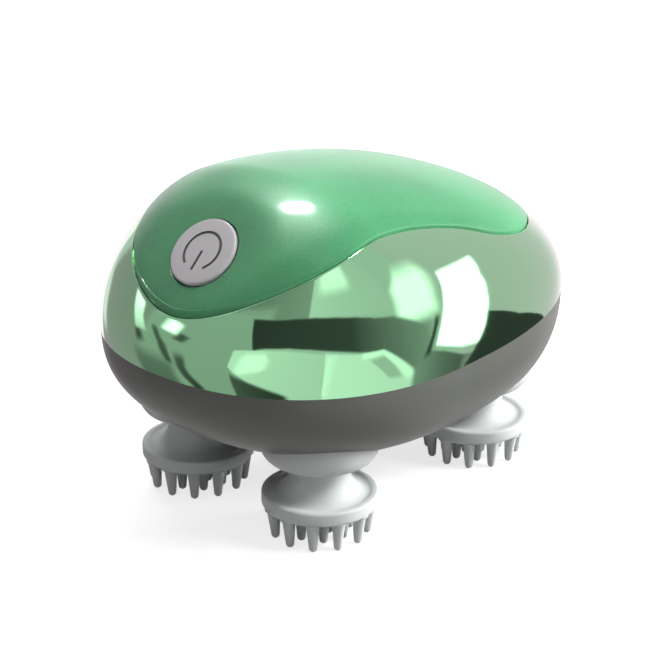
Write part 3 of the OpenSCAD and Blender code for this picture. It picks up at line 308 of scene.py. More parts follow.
def finish_of(name, colour, roughness, tone=0.06, gloss=0.05, grain_scale=2500.0, drift=60.0, depth=0.02,
              **shader):
    """A material with the moulded grain in its colour, roughness and surface; shader sets the rest."""
    made = bpy.data.materials.new(name)
    made.use_nodes = True
    tree = made.node_tree
    skin_shader = tree.nodes["Principled BSDF"]
    for key, value in shader.items():
        skin_shader.inputs[key.replace("_", " ")].default_value = value
    texture = tree.nodes.new("ShaderNodeGroup")
    texture.node_tree = grain
    for key, value in {"Grain": grain_scale, "Drift": drift, "Tone": tone, "Gloss": gloss,
                       "Roughness": roughness}.items():
        texture.inputs[key].default_value = value
    tint = node(tree, "ShaderNodeMix", data_type="RGBA", blend_type="MULTIPLY")
    tint.inputs["Factor"].default_value = 1.0
    tint.inputs[6].default_value = (*colour, 1)
    tree.links.new(texture.outputs["Tone"], tint.inputs[7])
    tree.links.new(tint.outputs[2], skin_shader.inputs["Base Color"])
    tree.links.new(texture.outputs["Roughness"], skin_shader.inputs["Roughness"])
    bump = node(tree, "ShaderNodeBump", Strength=0.5)
    bump.inputs["Distance"].default_value = depth * MM
    tree.links.new(texture.outputs["Height"], bump.inputs["Height"])
    tree.links.new(bump.outputs["Normal"], skin_shader.inputs["Normal"])
    return made


dark_plastic = finish_of("matte dark shell", (0.101, 0.105, 0.094), 0.38, tone=0.08, grain_scale=3500, depth=0.03)
lower_shell.data.materials.clear()
lower_shell.data.materials.append(dark_plastic)

# ---- Screw plugs ----
# Four small discs in the lower shell's plastic, pressed into the recesses over the screw heads.
# Each follows the egg's surface and leaves a hair-thin ring round itself.
PLUG_R, PLUG_DEEP, PLUG_EDGE = 2.45, 1.3, 0.08
plugs = []
for x, y in BOSSES:
    under = laid_rings(x, y, PLUG_R)
    under[-1][:, 2] += PLUG_EDGE
    plugs.append(ring_skin(under + [ring + np.array([0, 0, PLUG_DEEP]) for ring in under[::-1]]))
screw_plugs = new_piece("screw_plugs", *join(*plugs), "housing", "dark_shell", 50)
screw_plugs.data.materials.append(dark_plastic)

# ---- Plated shell ----
# The upper half of the egg, moulded in ABS and electroplated in a pale green mirror finish.
# A pocket in its top takes the cover, and a cup below the pocket takes the power button.
CREST_X, TOP_RISE, CREST_N = -21.0, 34.5, (1.7, 1.85)
TOP_SECTION_N = 2.2
PLATED_WALL, COVER_SINK, COVER_GAP, COVER_PROUD = 2.8, 1.2, 0.25, 0.7
NOSE_X, NOSE_R, TAIL_X, TAIL_R, SIDE_R = -24.0, 27.7, 13.4, 32.1, 200.0
BUTTON_X, BUTTON_Z, BUTTON_TILT = -43.8, 63.5069, math.radians(43.635)
WELL_R, WELL_OUT_R, WELL_LOW, WELL_FLOOR, WELL_OUT_Z = 7.95, 9.75, -4.1, -4.36667, -5.76667
STEM_HOLE_R = 2.3
POST_R, POST_HOLE_R, POST_LOW, POST_TOP, POST_APART = 1.9, 0.8, -11.06667, -5.2, 7.6
BOSS_HOLE_R, BOSS_TOPS = 1.25, (53.0, 53.0, 49.5, 49.5)
POCKET_EDGE = 0.22
SEAT_ROWS, SKIN_ROWS = 24, 56
MID_X = -5.0
RAYS = 720


def crest(x, grow=0.0):
    return (TOP_RISE + grow) * along(x, CREST_X, CREST_N, grow)


def top_z(x, y, grow=0.0):
    """The height of the egg's upper side."""
    return SEAM_Z + crest(x, grow) * lame(np.abs(y) / np.maximum(half_width(x, grow), 1e-6), TOP_SECTION_N)


def ray_reach(angle, inside_of):
    """How far a ray from the middle of the plan goes before it leaves an outline."""
    low, high = np.zeros_like(angle), np.full_like(angle, 80.0)
    for _ in range(50):
        mid = (low + high) / 2
        hit = inside_of(MID_X + mid * np.cos(angle), mid * np.sin(angle))
        low, high = np.where(hit, mid, low), np.where(hit, high, mid)
    return low


def in_egg(grow):
    """Inside the egg's widest outline."""
    return lambda x, y: (np.abs(y) < half_width(x, grow)) & (x > -HALF_LEN - grow) & (x < HALF_LEN + grow)


def in_cover(grow):
    """Inside the two round ends of the cover, or between them and the hollow long sides."""
    reach_a, reach_b, span = SIDE_R + NOSE_R, SIDE_R + TAIL_R, TAIL_X - NOSE_X
    u = (span ** 2 + reach_a ** 2 - reach_b ** 2) / (2 * span)
    waist_x, waist_y = NOSE_X + u, math.sqrt(reach_a ** 2 - u ** 2)
    x_p = NOSE_X + u * (NOSE_R + grow) / reach_a
    x_q = TAIL_X + (waist_x - TAIL_X) * (TAIL_R + grow) / reach_b

    def test(x, y):
        nose = (x - NOSE_X) ** 2 + y ** 2 < (NOSE_R + grow) ** 2
        tail = (x - TAIL_X) ** 2 + y ** 2 < (TAIL_R + grow) ** 2
        waist = (x > x_p) & (x < x_q) & (np.abs(y) < waist_y) & (
            (x - waist_x) ** 2 + (np.abs(y) - waist_y) ** 2 > (SIDE_R - grow) ** 2)
        return nose | tail | waist
    return test


ray_angle = 2 * np.pi * np.arange(RAYS) / RAYS
BUTTON_AXIS = np.array([-math.sin(BUTTON_TILT), 0, math.cos(BUTTON_TILT)])
BUTTON_ALONG = np.array([math.cos(BUTTON_TILT), 0, math.sin(BUTTON_TILT)])
BUTTON_MID = np.array([BUTTON_X, 0, BUTTON_Z])


def outline(inside_of):
    reach = ray_reach(ray_angle, inside_of)
    return np.stack([MID_X + reach * np.cos(ray_angle), reach * np.sin(ray_angle)], -1)


def at_button(x, y, z):
    """A point given along, across and out of the button, in the body's frame."""
    return BUTTON_MID + np.multiply.outer(x, BUTTON_ALONG) + np.multiply.outer(y, np.array([0, 1, 0])) \
        + np.multiply.outer(z, BUTTON_AXIS)


def round_button(radius, ends, grow):
    """Points where a cylinder round the button meets the egg's surface, one for each end on the outline."""
    psi = np.arctan2(ends[:, 1], (ends[:, 0] - BUTTON_X) / math.cos(BUTTON_TILT))
    x, y = radius * np.cos(psi), radius * np.sin(psi)
    low, high = np.full(len(ends), -9.0), np.full(len(ends), 4.0)
    for _ in range(40):
        mid = (low + high) / 2
        p = at_button(x, y, mid)
        under = p[:, 2] < top_z(p[:, 0], p[:, 1], grow)
        low, high = np.where(under, mid, low), np.where(under, high, mid)
    return at_button(x, y, low)


def on_egg(plan, grow):
    """Points of a plan laid on the egg's upper side."""
    return np.concatenate([plan, top_z(plan[:, 0], plan[:, 1], grow)[:, None]], 1)


def loops_to_mesh(loops, closed=True):
    """Quads between loops of points round the body; the last loop joins the first where closed."""
    n = len(loops[0])
    pairs = [(i, i + 1) for i in range(len(loops) - 1)] + ([(len(loops) - 1, 0)] if closed else [])
    faces = [[a * n + k, a * n + (k + 1) % n, b * n + (k + 1) % n, b * n + k] for a, b in pairs for k in range(n)]
    return np.concatenate(loops), [f[::-1] for f in faces]


pocket = outline(in_cover(COVER_GAP))
seam = outline(in_egg(0.0))
seam_in = outline(in_egg(-PLATED_WALL))
well_seat = round_button(WELL_R, pocket, -COVER_SINK)
well_in = round_button(WELL_OUT_R - 0.3, pocket, -PLATED_WALL)
well_psi = np.arctan2(pocket[:, 1], (pocket[:, 0] - BUTTON_X) / math.cos(BUTTON_TILT))
outward = np.stack([np.cos(ray_angle), np.sin(ray_angle)], -1)
loops = [at_button(WELL_R * np.cos(well_psi), WELL_R * np.sin(well_psi), np.full(RAYS, WELL_LOW)), well_seat]
for k in range(1, SEAT_ROWS):
    plan = well_seat[:, :2] + (pocket - well_seat[:, :2]) * k / SEAT_ROWS
    loops.append(on_egg(plan, -COVER_SINK))
loops.append(on_egg(pocket, -COVER_SINK))
for lift, out in ((-POCKET_EDGE, 0.0), (-POCKET_EDGE * 0.3, POCKET_EDGE * 0.3)):
    loops.append(on_egg(pocket + out * outward, 0.0) + np.array([0, 0, lift]))
start = pocket + POCKET_EDGE * outward
for k in range(SKIN_ROWS + 1):
    s = math.sin(math.pi / 2 * k / SKIN_ROWS)
    loops.append(on_egg(start + (seam - start) * s, 0.0))
loops[-1] = np.concatenate([seam, np.full((RAYS, 1), SEAM_Z)], 1)
loops.append(np.concatenate([seam_in, np.full((RAYS, 1), SEAM_Z)], 1))
for k in range(SKIN_ROWS // 2 - 1, 0, -1):
    s = math.sin(math.pi / 2 * k / (SKIN_ROWS // 2))
    loops.append(on_egg(well_in[:, :2] + (seam_in - well_in[:, :2]) * s, -PLATED_WALL))
loops.append(well_in)
plated_mesh = loops_to_mesh(loops)


def leaned(part):
    """Moves a part made round the vertical onto the button's axis."""
    points = np.array(part[0], float)
    return at_button(points[:, 0], points[:, 1], points[:, 2]), part[1]


cup = leaned(turned([(WELL_R, WELL_LOW), (WELL_R, WELL_FLOOR), (STEM_HOLE_R, WELL_FLOOR), (STEM_HOLE_R, WELL_OUT_Z),
                     (WELL_OUT_R, WELL_OUT_Z), (WELL_OUT_R, WELL_LOW)], 160, closed=True))
post = [(POST_HOLE_R, POST_LOW), (POST_R, POST_LOW), (POST_R, POST_TOP), (POST_HOLE_R, POST_TOP)]
posts = [leaned(turned(post, 32, (0, s * POST_APART, 0), True)) for s in (-1, 1)]
bosses = [turned([(BOSS_HOLE_R, SEAM_Z), (BOSS_R, SEAM_Z), (BOSS_R, top), (BOSS_HOLE_R, top)], 32, (x, y, 0), True)
          for (x, y), top in zip(BOSSES, BOSS_TOPS)]
plated_shell = new_piece("plated_shell_skin", *join(plated_mesh, cup, *posts, *bosses), "housing",
                         "green_chrome", 40)
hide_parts("plated_shell")

plating = bpy.data.materials.new("green mirror plating")
plating.use_nodes = True
tree = plating.node_tree
shader = tree.nodes["Principled BSDF"]
shader.inputs["Metallic"].default_value = 1.0
shader.inputs["Coat Weight"].default_value = 1.0
shader.inputs["Coat Roughness"].default_value = 0.04
ripple = tree.nodes.new("ShaderNodeGroup")
ripple.node_tree = grain
for key, value in {"Grain": 90.0, "Drift": 25.0, "Tone": 0.02, "Gloss": 0.02, "Roughness": 0.05}.items():
    ripple.inputs[key].default_value = value
tint = node(tree, "ShaderNodeMix", data_type="RGBA", blend_type="MULTIPLY")
tint.inputs["Factor"].default_value = 1.0
tint.inputs[6].default_value = (0.41, 0.83, 0.47, 1)
tree.links.new(ripple.outputs["Tone"], tint.inputs[7])
tree.links.new(tint.outputs[2], shader.inputs["Base Color"])
tree.links.new(ripple.outputs["Roughness"], shader.inputs["Roughness"])
plated_shell.data.materials.append(plating)
# Near-black finish on the cup under the button: painted shade, so the gap round the button reads dark.
well_shade_paint = finish_of("painted shade in the button well", (0.035, 0.045, 0.038), 0.5, tone=0.1, grain_scale=2500, depth=0.015)
plated_shell.data.materials.append(well_shade_paint)
# The faces of the cup under the button take the painted shade.
for face in plated_shell.data.polygons:
    rel = np.array(face.center) / MM - BUTTON_MID
    if math.hypot(rel @ BUTTON_ALONG, rel[1]) < WELL_R + 0.6 and rel @ BUTTON_AXIS < -0.5:
        face.material_index = 1

# ---- Top cover ----
# A separate moulding in pearl green, let into the plated shell and standing a little proud of it, less so
# at its rounded edge. A shallow dish round the button guides the thumb.
DISH_DEPTH, DISH_CURVE, DISH_SOFT = 2.28, 150.0, 1.8
COVER_EDGE, EDGE_FALL, FALL_WIDE, SEAT_PLAY = 0.3, 0.35, 7.0, 0.02
TOP_ROWS, EDGE_ROWS, UNDER_ROWS = 150, 6, 12


def dished(points):
    """Presses the shallow dish round the button into the cover's surface."""
    rel = points - BUTTON_MID
    x, y, z = rel @ BUTTON_ALONG, rel[:, 1], rel @ BUTTON_AXIS
    floor = -DISH_DEPTH + (x ** 2 + y ** 2) / (2 * DISH_CURVE)
    near = np.hypot(x, y) < 24
    soft = np.clip(0.5 + (floor - z) / (2 * DISH_SOFT), 0, 1)
    low = floor * (1 - soft) + z * soft - DISH_SOFT * soft * (1 - soft)
    return points + np.where(near, np.minimum(low - z, 0), 0)[:, None] * BUTTON_AXIS


rim_plan = outline(in_cover(0.0))
inner_top = rim_plan - COVER_EDGE * outward
well_under = round_button(WELL_R, rim_plan, -COVER_SINK + SEAT_PLAY)
loops = [well_under, dished(round_button(WELL_R, rim_plan, COVER_PROUD)) - 0.2 * BUTTON_AXIS]
start = round_button(WELL_R + 0.2, rim_plan, COVER_PROUD)[:, :2]
for k in range(TOP_ROWS + 1):
    s = (k / TOP_ROWS) ** 1.25
    plan = start + (inner_top - start) * s
    near_rim = np.clip(1 - np.linalg.norm(inner_top - plan, axis=1) / FALL_WIDE, 0, 1) ** 2
    loops.append(dished(on_egg(plan, COVER_PROUD - EDGE_FALL * near_rim)))
for k in range(1, EDGE_ROWS + 1):
    a = math.pi / 2 * k / EDGE_ROWS
    plan = inner_top + COVER_EDGE * math.sin(a) * outward
    loops.append(on_egg(plan, COVER_PROUD - EDGE_FALL) - np.array([0, 0, COVER_EDGE * (1 - math.cos(a))]))
loops.append(on_egg(rim_plan, -COVER_SINK + SEAT_PLAY))
for k in range(UNDER_ROWS - 1, 0, -1):
    plan = well_under[:, :2] + (rim_plan - well_under[:, :2]) * k / UNDER_ROWS
    loops.append(on_egg(plan, -COVER_SINK + SEAT_PLAY))
top_cover = new_piece("top_cover_skin", *loops_to_mesh(loops), "housing", "green_cover", 40)
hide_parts("top_cover")
pearl = finish_of("pearl green cover", (0.040, 0.248, 0.097), 0.42, tone=0.9, gloss=0.08, grain_scale=3200,
                  drift=40, depth=0.03, Sheen_Weight=0.25, Sheen_Roughness=0.4, Sheen_Tint=(0.7, 1.0, 0.85, 1),
                  Coat_Weight=0.5, Coat_Roughness=0.12)
top_cover.data.materials.append(pearl)

# ---- Power button ----
# A round cap in satin grey plastic on a short stem, standing just proud of the cover's dish.
# The power sign, a broken ring with a bar, is engraved in its top and filled darker.
CAP_R, CAP_TOP, CAP_BOTTOM, STEM_R, STEM_END = 7.65, -1.36667, -3.46667, 2.0, -6.86667
CAP_EDGE, CAP_CHAMFER = 0.45, 0.2
SIGN_R, SIGN_LINE, SIGN_DEPTH, SIGN_GAP, SIGN_BAR = 4.3, 0.62, 0.25, math.radians(38), 4.6
edge = [(CAP_R - CAP_EDGE + CAP_EDGE * math.sin(a), CAP_TOP - CAP_EDGE + CAP_EDGE * math.cos(a))
        for a in (math.pi / 2 * k / 6 for k in range(7))]
cap_profile = [(0, STEM_END), (STEM_R, STEM_END), (STEM_R, CAP_BOTTOM), (CAP_R - CAP_CHAMFER, CAP_BOTTOM),
               (CAP_R, CAP_BOTTOM + CAP_CHAMFER)] + edge[::-1] + [(0, CAP_TOP)]
power_button = new_piece("power_button_cap", *leaned(turned(cap_profile, 160)), "button", "button_cap", 30)


def band(outline_points, low, high):
    """A flat outline pushed up from one height to another."""
    n = len(outline_points)
    points = [(x, y, low) for x, y in outline_points] + [(x, y, high) for x, y in outline_points]
    faces = [[k, (k + 1) % n, n + (k + 1) % n, n + k] for k in range(n)]
    return points, faces + [list(range(n))[::-1], list(range(n, 2 * n))]


def arc_line(radius, line, a0, a1, steps=72):
    """The outline of an arc of a line's width with round ends."""
    pts = []
    for k in range(steps + 1):
        a = a0 + (a1 - a0) * k / steps
        pts.append(((radius + line / 2) * math.cos(a), (radius + line / 2) * math.sin(a)))
    for k in range(1, 8):
        b = a1 + math.pi * k / 8
        pts.append((radius * math.cos(a1) + line / 2 * math.cos(b), radius * math.sin(a1) + line / 2 * math.sin(b)))
    for k in range(steps, -1, -1):
        a = a0 + (a1 - a0) * k / steps
        pts.append(((radius - line / 2) * math.cos(a), (radius - line / 2) * math.sin(a)))
    for k in range(1, 8):
        b = a0 + math.pi + math.pi * k / 8
        pts.append((radius * math.cos(a0) + line / 2 * math.cos(b), radius * math.sin(a0) + line / 2 * math.sin(b)))
    return pts


ring_cut = band(arc_line(SIGN_R, SIGN_LINE, -math.pi + SIGN_GAP, math.pi - SIGN_GAP), CAP_TOP - SIGN_DEPTH, 0)
bar_from, half_line = -SIGN_R - SIGN_LINE / 2, SIGN_LINE / 2
bar_end = [(bar_from + SIGN_BAR, -half_line), (bar_from + SIGN_BAR, half_line),
           (bar_from, half_line), (bar_from, -half_line)]
bar_cut = band(bar_end, CAP_TOP - SIGN_DEPTH, 0)
combine(power_button, [leaned(ring_cut), leaned(bar_cut)], "DIFFERENCE")
shade(power_button, 30)
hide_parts("power_button")
cap_grey = finish_of("satin grey button", (0.54, 0.52, 0.54), 0.42, tone=0.05, grain_scale=3000, depth=0.015)
sign_grey = finish_of("sign in the button", (0.11, 0.11, 0.11), 0.6, tone=0.05)
power_button.data.materials.clear()
power_button.data.materials.append(cap_grey)
power_button.data.materials.append(sign_grey)
for face in power_button.data.polygons:
    rel = np.array(face.center) / MM - BUTTON_MID
    deep, reach = rel @ BUTTON_AXIS, math.hypot(rel @ BUTTON_ALONG, rel[1])
    if reach < SIGN_R + 1 and CAP_TOP - SIGN_DEPTH - 0.01 < deep < CAP_TOP - 0.01:
        face.material_index = 1

# ---- Collars ----
# Four pale grey moulded collars, pushed into the lower shell round the drive shafts.
# Each bulges out of the shell and turns in over its head with a rounded lower edge.
COLLAR_R, COLLAR_EDGE_R, COLLAR_Z, COLLAR_TOP, COLLAR_LIP, FLANK_H = 12.7, 10.4, 17.2, 28.0, 0.4, 3.6
COLLAR_IN_R, COLLAR_FLOOR = 10.9, 19.0
SEAL_OUT_R, SEAL_IN_R, SEAL_TOP, SHAFT_HOLE_R = 5.8, 4.0, 21.0, 2.4
bulge = COLLAR_R - COLLAR_EDGE_R
flank = [(COLLAR_EDGE_R + bulge * math.sin(a), COLLAR_Z + COLLAR_LIP + FLANK_H * (1 - math.cos(a)))
         for a in (math.pi / 2 * k / 24 for k in range(25))]
lip = [(COLLAR_EDGE_R - COLLAR_LIP + COLLAR_LIP * math.sin(a), COLLAR_Z + COLLAR_LIP * (1 - math.cos(a)))
       for a in (math.pi / 2 * k / 6 for k in range(6))]
collar_profile = ([(SHAFT_HOLE_R, COLLAR_FLOOR), (SHAFT_HOLE_R, COLLAR_Z)] + lip + flank
                  + [(COLLAR_R, COLLAR_TOP), (COLLAR_IN_R, COLLAR_TOP), (COLLAR_IN_R, COLLAR_FLOOR),
                     (SEAL_OUT_R, COLLAR_FLOOR), (SEAL_OUT_R, SEAL_TOP), (SEAL_IN_R, SEAL_TOP),
                     (SEAL_IN_R, COLLAR_FLOOR)])
pale_plastic = finish_of("pale grey collar", (0.49, 0.50, 0.50), 0.45, tone=0.04, grain_scale=2500, depth=0.012)
for key, (x, y) in HEADS.items():
    collar = new_piece("collar_" + key + "_ring", *turned(collar_profile, 144, (x, y, 0), True), "housing",
                       "collar_grey", 40)
    collar.data.materials.append(pale_plastic)
    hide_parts("collar_" + key)

# ---- Massage heads ----
# Each head is one silicone moulding: a disc with a raised lip, a trumpet-shaped neck that pulls onto
# the hub, and rings of tapered fingers with round tips that lean in slightly at the rim.
FINGER_LEN, RIM_H, DISC_R, NECK_R, NECK_TOP = 6.6, 3.1, 12.4, 6.4, 16.4
ROOT_R, TIP_R, LEAN, FLARE, ROOT_IN = 1.4, 0.9, math.radians(3.5), 0.5, 0.4
RINGS = [(10.1, 12, LEAN), (6.3, 8, 0.0), (2.5, 4, 0.0)]
HEAD_TURN = {"front_left": 3.6, "front_right": 9.6, "rear_left": 4.0, "rear_right": 20.0}
RIM_ROUND, LIP_W, LIP_ROUND, LIP_DROP, DIP_W, TRUMPET_H, NECK_ROUND = 0.8, 1.0, 0.45, 0.22, 1.2, 5.0, 0.5
HUB_R, HUB_LOW, FLANGE_R, FLANGE_TOP = 4.2, 8.2, 6.0, 9.4
rim_top = FINGER_LEN + RIM_H


def finger(ring_r, direction, lean, steps=20):
    """A tapered post with a round tip and a flared root, hung from the disc."""
    tall = (FINGER_LEN - TIP_R) / math.cos(lean)
    tip = [(TIP_R * math.sin(a), -TIP_R * math.cos(a)) for a in (math.pi / 2 * k / 6 for k in range(6))]
    flare = [(ROOT_R + FLARE * (1 - math.cos(a)), tall - FLARE + FLARE * math.sin(a))
             for a in (math.pi / 2 * k / 4 for k in range(5))]
    points, faces = turned([(r if r > 1e-6 else 0, z) for r, z in tip] + [(TIP_R, 0.0)] + flare
                           + [(ROOT_R + FLARE, tall + ROOT_IN), (0, tall + ROOT_IN)], steps)
    out = []
    base = ring_r + (FINGER_LEN - TIP_R) * math.tan(lean)
    for x, y, z in points:
        u, w = x * math.cos(lean) + (z - tall) * math.sin(lean), -x * math.sin(lean) + (z - tall) * math.cos(lean)
        r, h = base + u, FINGER_LEN + w
        out.append((r * math.cos(direction) - y * math.sin(direction),
                    r * math.sin(direction) + y * math.cos(direction), h))
    return out, faces


under_rim = [(DISC_R - RIM_ROUND + RIM_ROUND * math.sin(a), FINGER_LEN + RIM_ROUND * (1 - math.cos(a)))
             for a in (math.pi / 2 * k / 8 for k in range(9))]
over_rim = [(DISC_R - LIP_ROUND + LIP_ROUND * math.cos(a), rim_top - LIP_ROUND + LIP_ROUND * math.sin(a))
            for a in (math.pi / 2 * k / 6 for k in range(7))]
in_rim = [(DISC_R - LIP_W - DIP_W * k / 8, rim_top - LIP_DROP * (1 - math.cos(math.pi * k / 8)) / 2) for k in range(9)]
trumpet = [(NECK_R + (DISC_R - LIP_W - DIP_W - NECK_R) * (1 - math.sin(a)),
            rim_top - LIP_DROP + TRUMPET_H * (1 - math.cos(a))) for a in (math.pi / 2 * k / 24 for k in range(1, 25))]
neck_edge = [(NECK_R - NECK_ROUND + NECK_ROUND * math.cos(a), NECK_TOP - NECK_ROUND + NECK_ROUND * math.sin(a))
             for a in (math.pi / 2 * k / 5 for k in range(6))]
head_profile = ([(0, FINGER_LEN)] + under_rim + over_rim + in_rim + trumpet + neck_edge
                + [(HUB_R, NECK_TOP), (HUB_R, FLANGE_TOP), (FLANGE_R, FLANGE_TOP), (FLANGE_R, HUB_LOW), (0, HUB_LOW)])
silicone = finish_of("pale silicone", (0.54, 0.56, 0.56), 0.5, tone=0.04, grain_scale=1800, depth=0.01,
                     Subsurface_Weight=0.15, Subsurface_Radius=(0.002, 0.002, 0.002), Subsurface_Scale=1.0)
for key, (x, y) in HEADS.items():
    parts = [turned(head_profile, 144)]
    turn = math.radians(HEAD_TURN[key])
    for ring_r, how_many, lean in RINGS:
        parts += [finger(ring_r, turn + 2 * math.pi * k / how_many, lean) for k in range(how_many)]
    points, faces = join(*parts)
    points = [(px + x, py + y, pz) for px, py, pz in points]
    head = new_piece("head_" + key + "_silicone", points, faces, "massager_" + key, "silicone_light", 40)
    head.data.materials.append(silicone)
    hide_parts("head_" + key)

# ---- Charging flap, drive and power ----
# The flap in the tail is moulded in the lower shell's plastic and turns on a steel pin.
# Behind the shells: acetal gears on steel shafts, moulded frames, the motor, the cell and the boards.
INSIDE = {
    "dark_shell": dark_plastic,
    "collar_grey": pale_plastic,
    "seal_rubber": finish_of("black seal rubber", (0.03, 0.03, 0.03), 0.7, tone=0.15, grain_scale=1800, depth=0.03),
    "steel_pin": finish_of("ground steel", (0.55, 0.55, 0.56), 0.25, tone=0.08, gloss=0.1, grain_scale=900,
                           depth=0.004, Metallic=1.0),
    "screw_steel": finish_of("zinc-plated screw", (0.50, 0.50, 0.52), 0.35, tone=0.1, gloss=0.12, grain_scale=1200,
                             depth=0.006, Metallic=1.0),
    "gear_plastic": finish_of("natural acetal gear", (0.80, 0.76, 0.64), 0.4, tone=0.05, grain_scale=1500, depth=0.01),
    "hub_plastic": finish_of("grey nylon hub", (0.28, 0.30, 0.30), 0.5, tone=0.06, grain_scale=1500, depth=0.012),
    "frame_plastic": finish_of("grey gearbox frame", (0.14, 0.145, 0.15), 0.55, tone=0.08, grain_scale=2000,
                               depth=0.02),
    "motor_steel": finish_of("drawn motor can", (0.46, 0.47, 0.49), 0.3, tone=0.06, gloss=0.1, grain_scale=700,
                             depth=0.005, Metallic=1.0),
    "motor_plastic": finish_of("black motor cap", (0.02, 0.02, 0.022), 0.45, tone=0.1, grain_scale=1800, depth=0.015),
    "brass": finish_of("turned brass pinion", (0.60, 0.41, 0.12), 0.25, tone=0.08, gloss=0.1, grain_scale=1000,
                       depth=0.004, Metallic=1.0),
    "cell_wrap": finish_of("blue shrink film", (0.04, 0.17, 0.45), 0.25, tone=0.05, grain_scale=600, depth=0.02,
                           Coat_Weight=0.5),
    "board": finish_of("green solder mask", (0.012, 0.11, 0.035), 0.3, tone=0.25, grain_scale=500, drift=200,
                       depth=0.02, Coat_Weight=0.4),
    "switch_body": finish_of("black switch body", (0.015, 0.015, 0.015), 0.5, tone=0.1, grain_scale=2000, depth=0.015),
    "switch_stem": finish_of("white switch stem", (0.75, 0.75, 0.72), 0.45, tone=0.04, grain_scale=2000, depth=0.01),
    "socket_metal": finish_of("nickel socket shell", (0.50, 0.49, 0.47), 0.28, tone=0.08, gloss=0.1, grain_scale=900,
                              depth=0.004, Metallic=1.0),
}
for entry in frame["record"]["subparts"]:
    carried = frame["nodes"][entry["node"]]
    if not carried.hide_render and entry["material_slot"] in INSIDE:
        carried.data.materials.clear()
        carried.data.materials.append(INSIDE[entry["material_slot"]])

# ---- Studio ----
# A plain pale floor that runs out to white, soft lamps, and plain cards for the plating to mirror.
# The camera looks down over the button end.
CAMERA_AT = Vector((-294.9085743, -257.83955054, 191.33924517)) * MM
CAMERA_BACK = Vector((-0.69223412, -0.61734498, 0.37376074))
CAMERA_RIGHT = Vector((0.66558301, -0.74632383, 0.0))
CAMERA_UP = Vector((0.27894655, 0.2487688, 0.92752515))
LENS = 105.23

scene = bpy.context.scene
scene.view_settings.view_transform = "Standard"
camera = bpy.data.objects.new("camera", bpy.data.cameras.new("camera"))
scene.collection.objects.link(camera)
camera.data.sensor_width = 36.0
camera.data.lens = LENS
camera.data.clip_start, camera.data.clip_end = 0.01, 50.0
rotation = Matrix((CAMERA_RIGHT, CAMERA_UP, CAMERA_BACK)).transposed().to_4x4()
camera.matrix_world = Matrix.Translation(CAMERA_AT) @ rotation
scene.camera = camera

FLOOR_HALF = 6000
floor = new_piece("floor", [(-FLOOR_HALF, -FLOOR_HALF, 0), (FLOOR_HALF, -FLOOR_HALF, 0),
                            (FLOOR_HALF, FLOOR_HALF, 0), (-FLOOR_HALF, FLOOR_HALF, 0)], [[0, 1, 2, 3]], None, None)
floor_paint = bpy.data.materials.new("pale floor")
floor_paint.use_nodes = True
tree = floor_paint.node_tree
shader = tree.nodes["Principled BSDF"]
shader.inputs["Base Color"].default_value = (0.42, 0.42, 0.42, 1)
shader.inputs["Roughness"].default_value = 0.9
shader.inputs["Specular IOR Level"].default_value = 0.1
shader.inputs["Emission Color"].default_value = (1, 1, 1, 1)
seen = tree.nodes.new("ShaderNodeLightPath")
either = node(tree, "ShaderNodeMath", operation="MAXIMUM")
tree.links.new(seen.outputs["Is Camera Ray"], either.inputs[0])
tree.links.new(seen.outputs["Is Glossy Ray"], either.inputs[1])
glow = node(tree, "ShaderNodeMath", operation="MULTIPLY")
glow.inputs[1].default_value = 0.74
tree.links.new(either.outputs[0], glow.inputs[0])
tree.links.new(glow.outputs[0], shader.inputs["Emission Strength"])
floor.data.materials.append(floor_paint)
floor.visible_glossy = False

AIR_LEVEL, MIRROR_LEVEL = 0.13, 0.6
world = bpy.data.worlds.new("studio")
world.use_nodes = True
scene.world = world
tree = world.node_tree
backing = tree.nodes["Background"]
backing.inputs["Color"].default_value = (1, 1, 1, 1)
seen = tree.nodes.new("ShaderNodeLightPath")
glossy = node(tree, "ShaderNodeMath", operation="MULTIPLY_ADD")
glossy.inputs[1].default_value = MIRROR_LEVEL - AIR_LEVEL
glossy.inputs[2].default_value = AIR_LEVEL
tree.links.new(seen.outputs["Is Glossy Ray"], glossy.inputs[0])
behind = node(tree, "ShaderNodeMath", operation="MAXIMUM")
tree.links.new(seen.outputs["Is Camera Ray"], behind.inputs[0])
tree.links.new(glossy.outputs[0], behind.inputs[1])
tree.links.new(behind.outputs[0], backing.inputs["Strength"])
STUDIO_MID = Vector((0, 0, 45)) * MM


def direction(azimuth, elevation):
    """A unit vector for two angles in degrees."""
    a, e = math.radians(azimuth), math.radians(elevation)
    return Vector((math.cos(a) * math.cos(e), math.sin(a) * math.cos(e), math.sin(e)))


def softbox(name, azimuth, elevation, distance, wide, high, power):
    """A soft lamp that faces the body. Only the cards show in the plating, so its own shape doesn't."""
    lamp = bpy.data.lights.new(name, "AREA")
    lamp.shape, lamp.size, lamp.size_y, lamp.energy = "RECTANGLE", wide, high, power
    obj = bpy.data.objects.new(name, lamp)
    scene.collection.objects.link(obj)
    obj.location = STUDIO_MID + direction(azimuth, elevation) * distance
    obj.rotation_mode = "QUATERNION"
    obj.rotation_quaternion = direction(azimuth, elevation).to_track_quat("Z", "Y")
    obj.visible_glossy = False


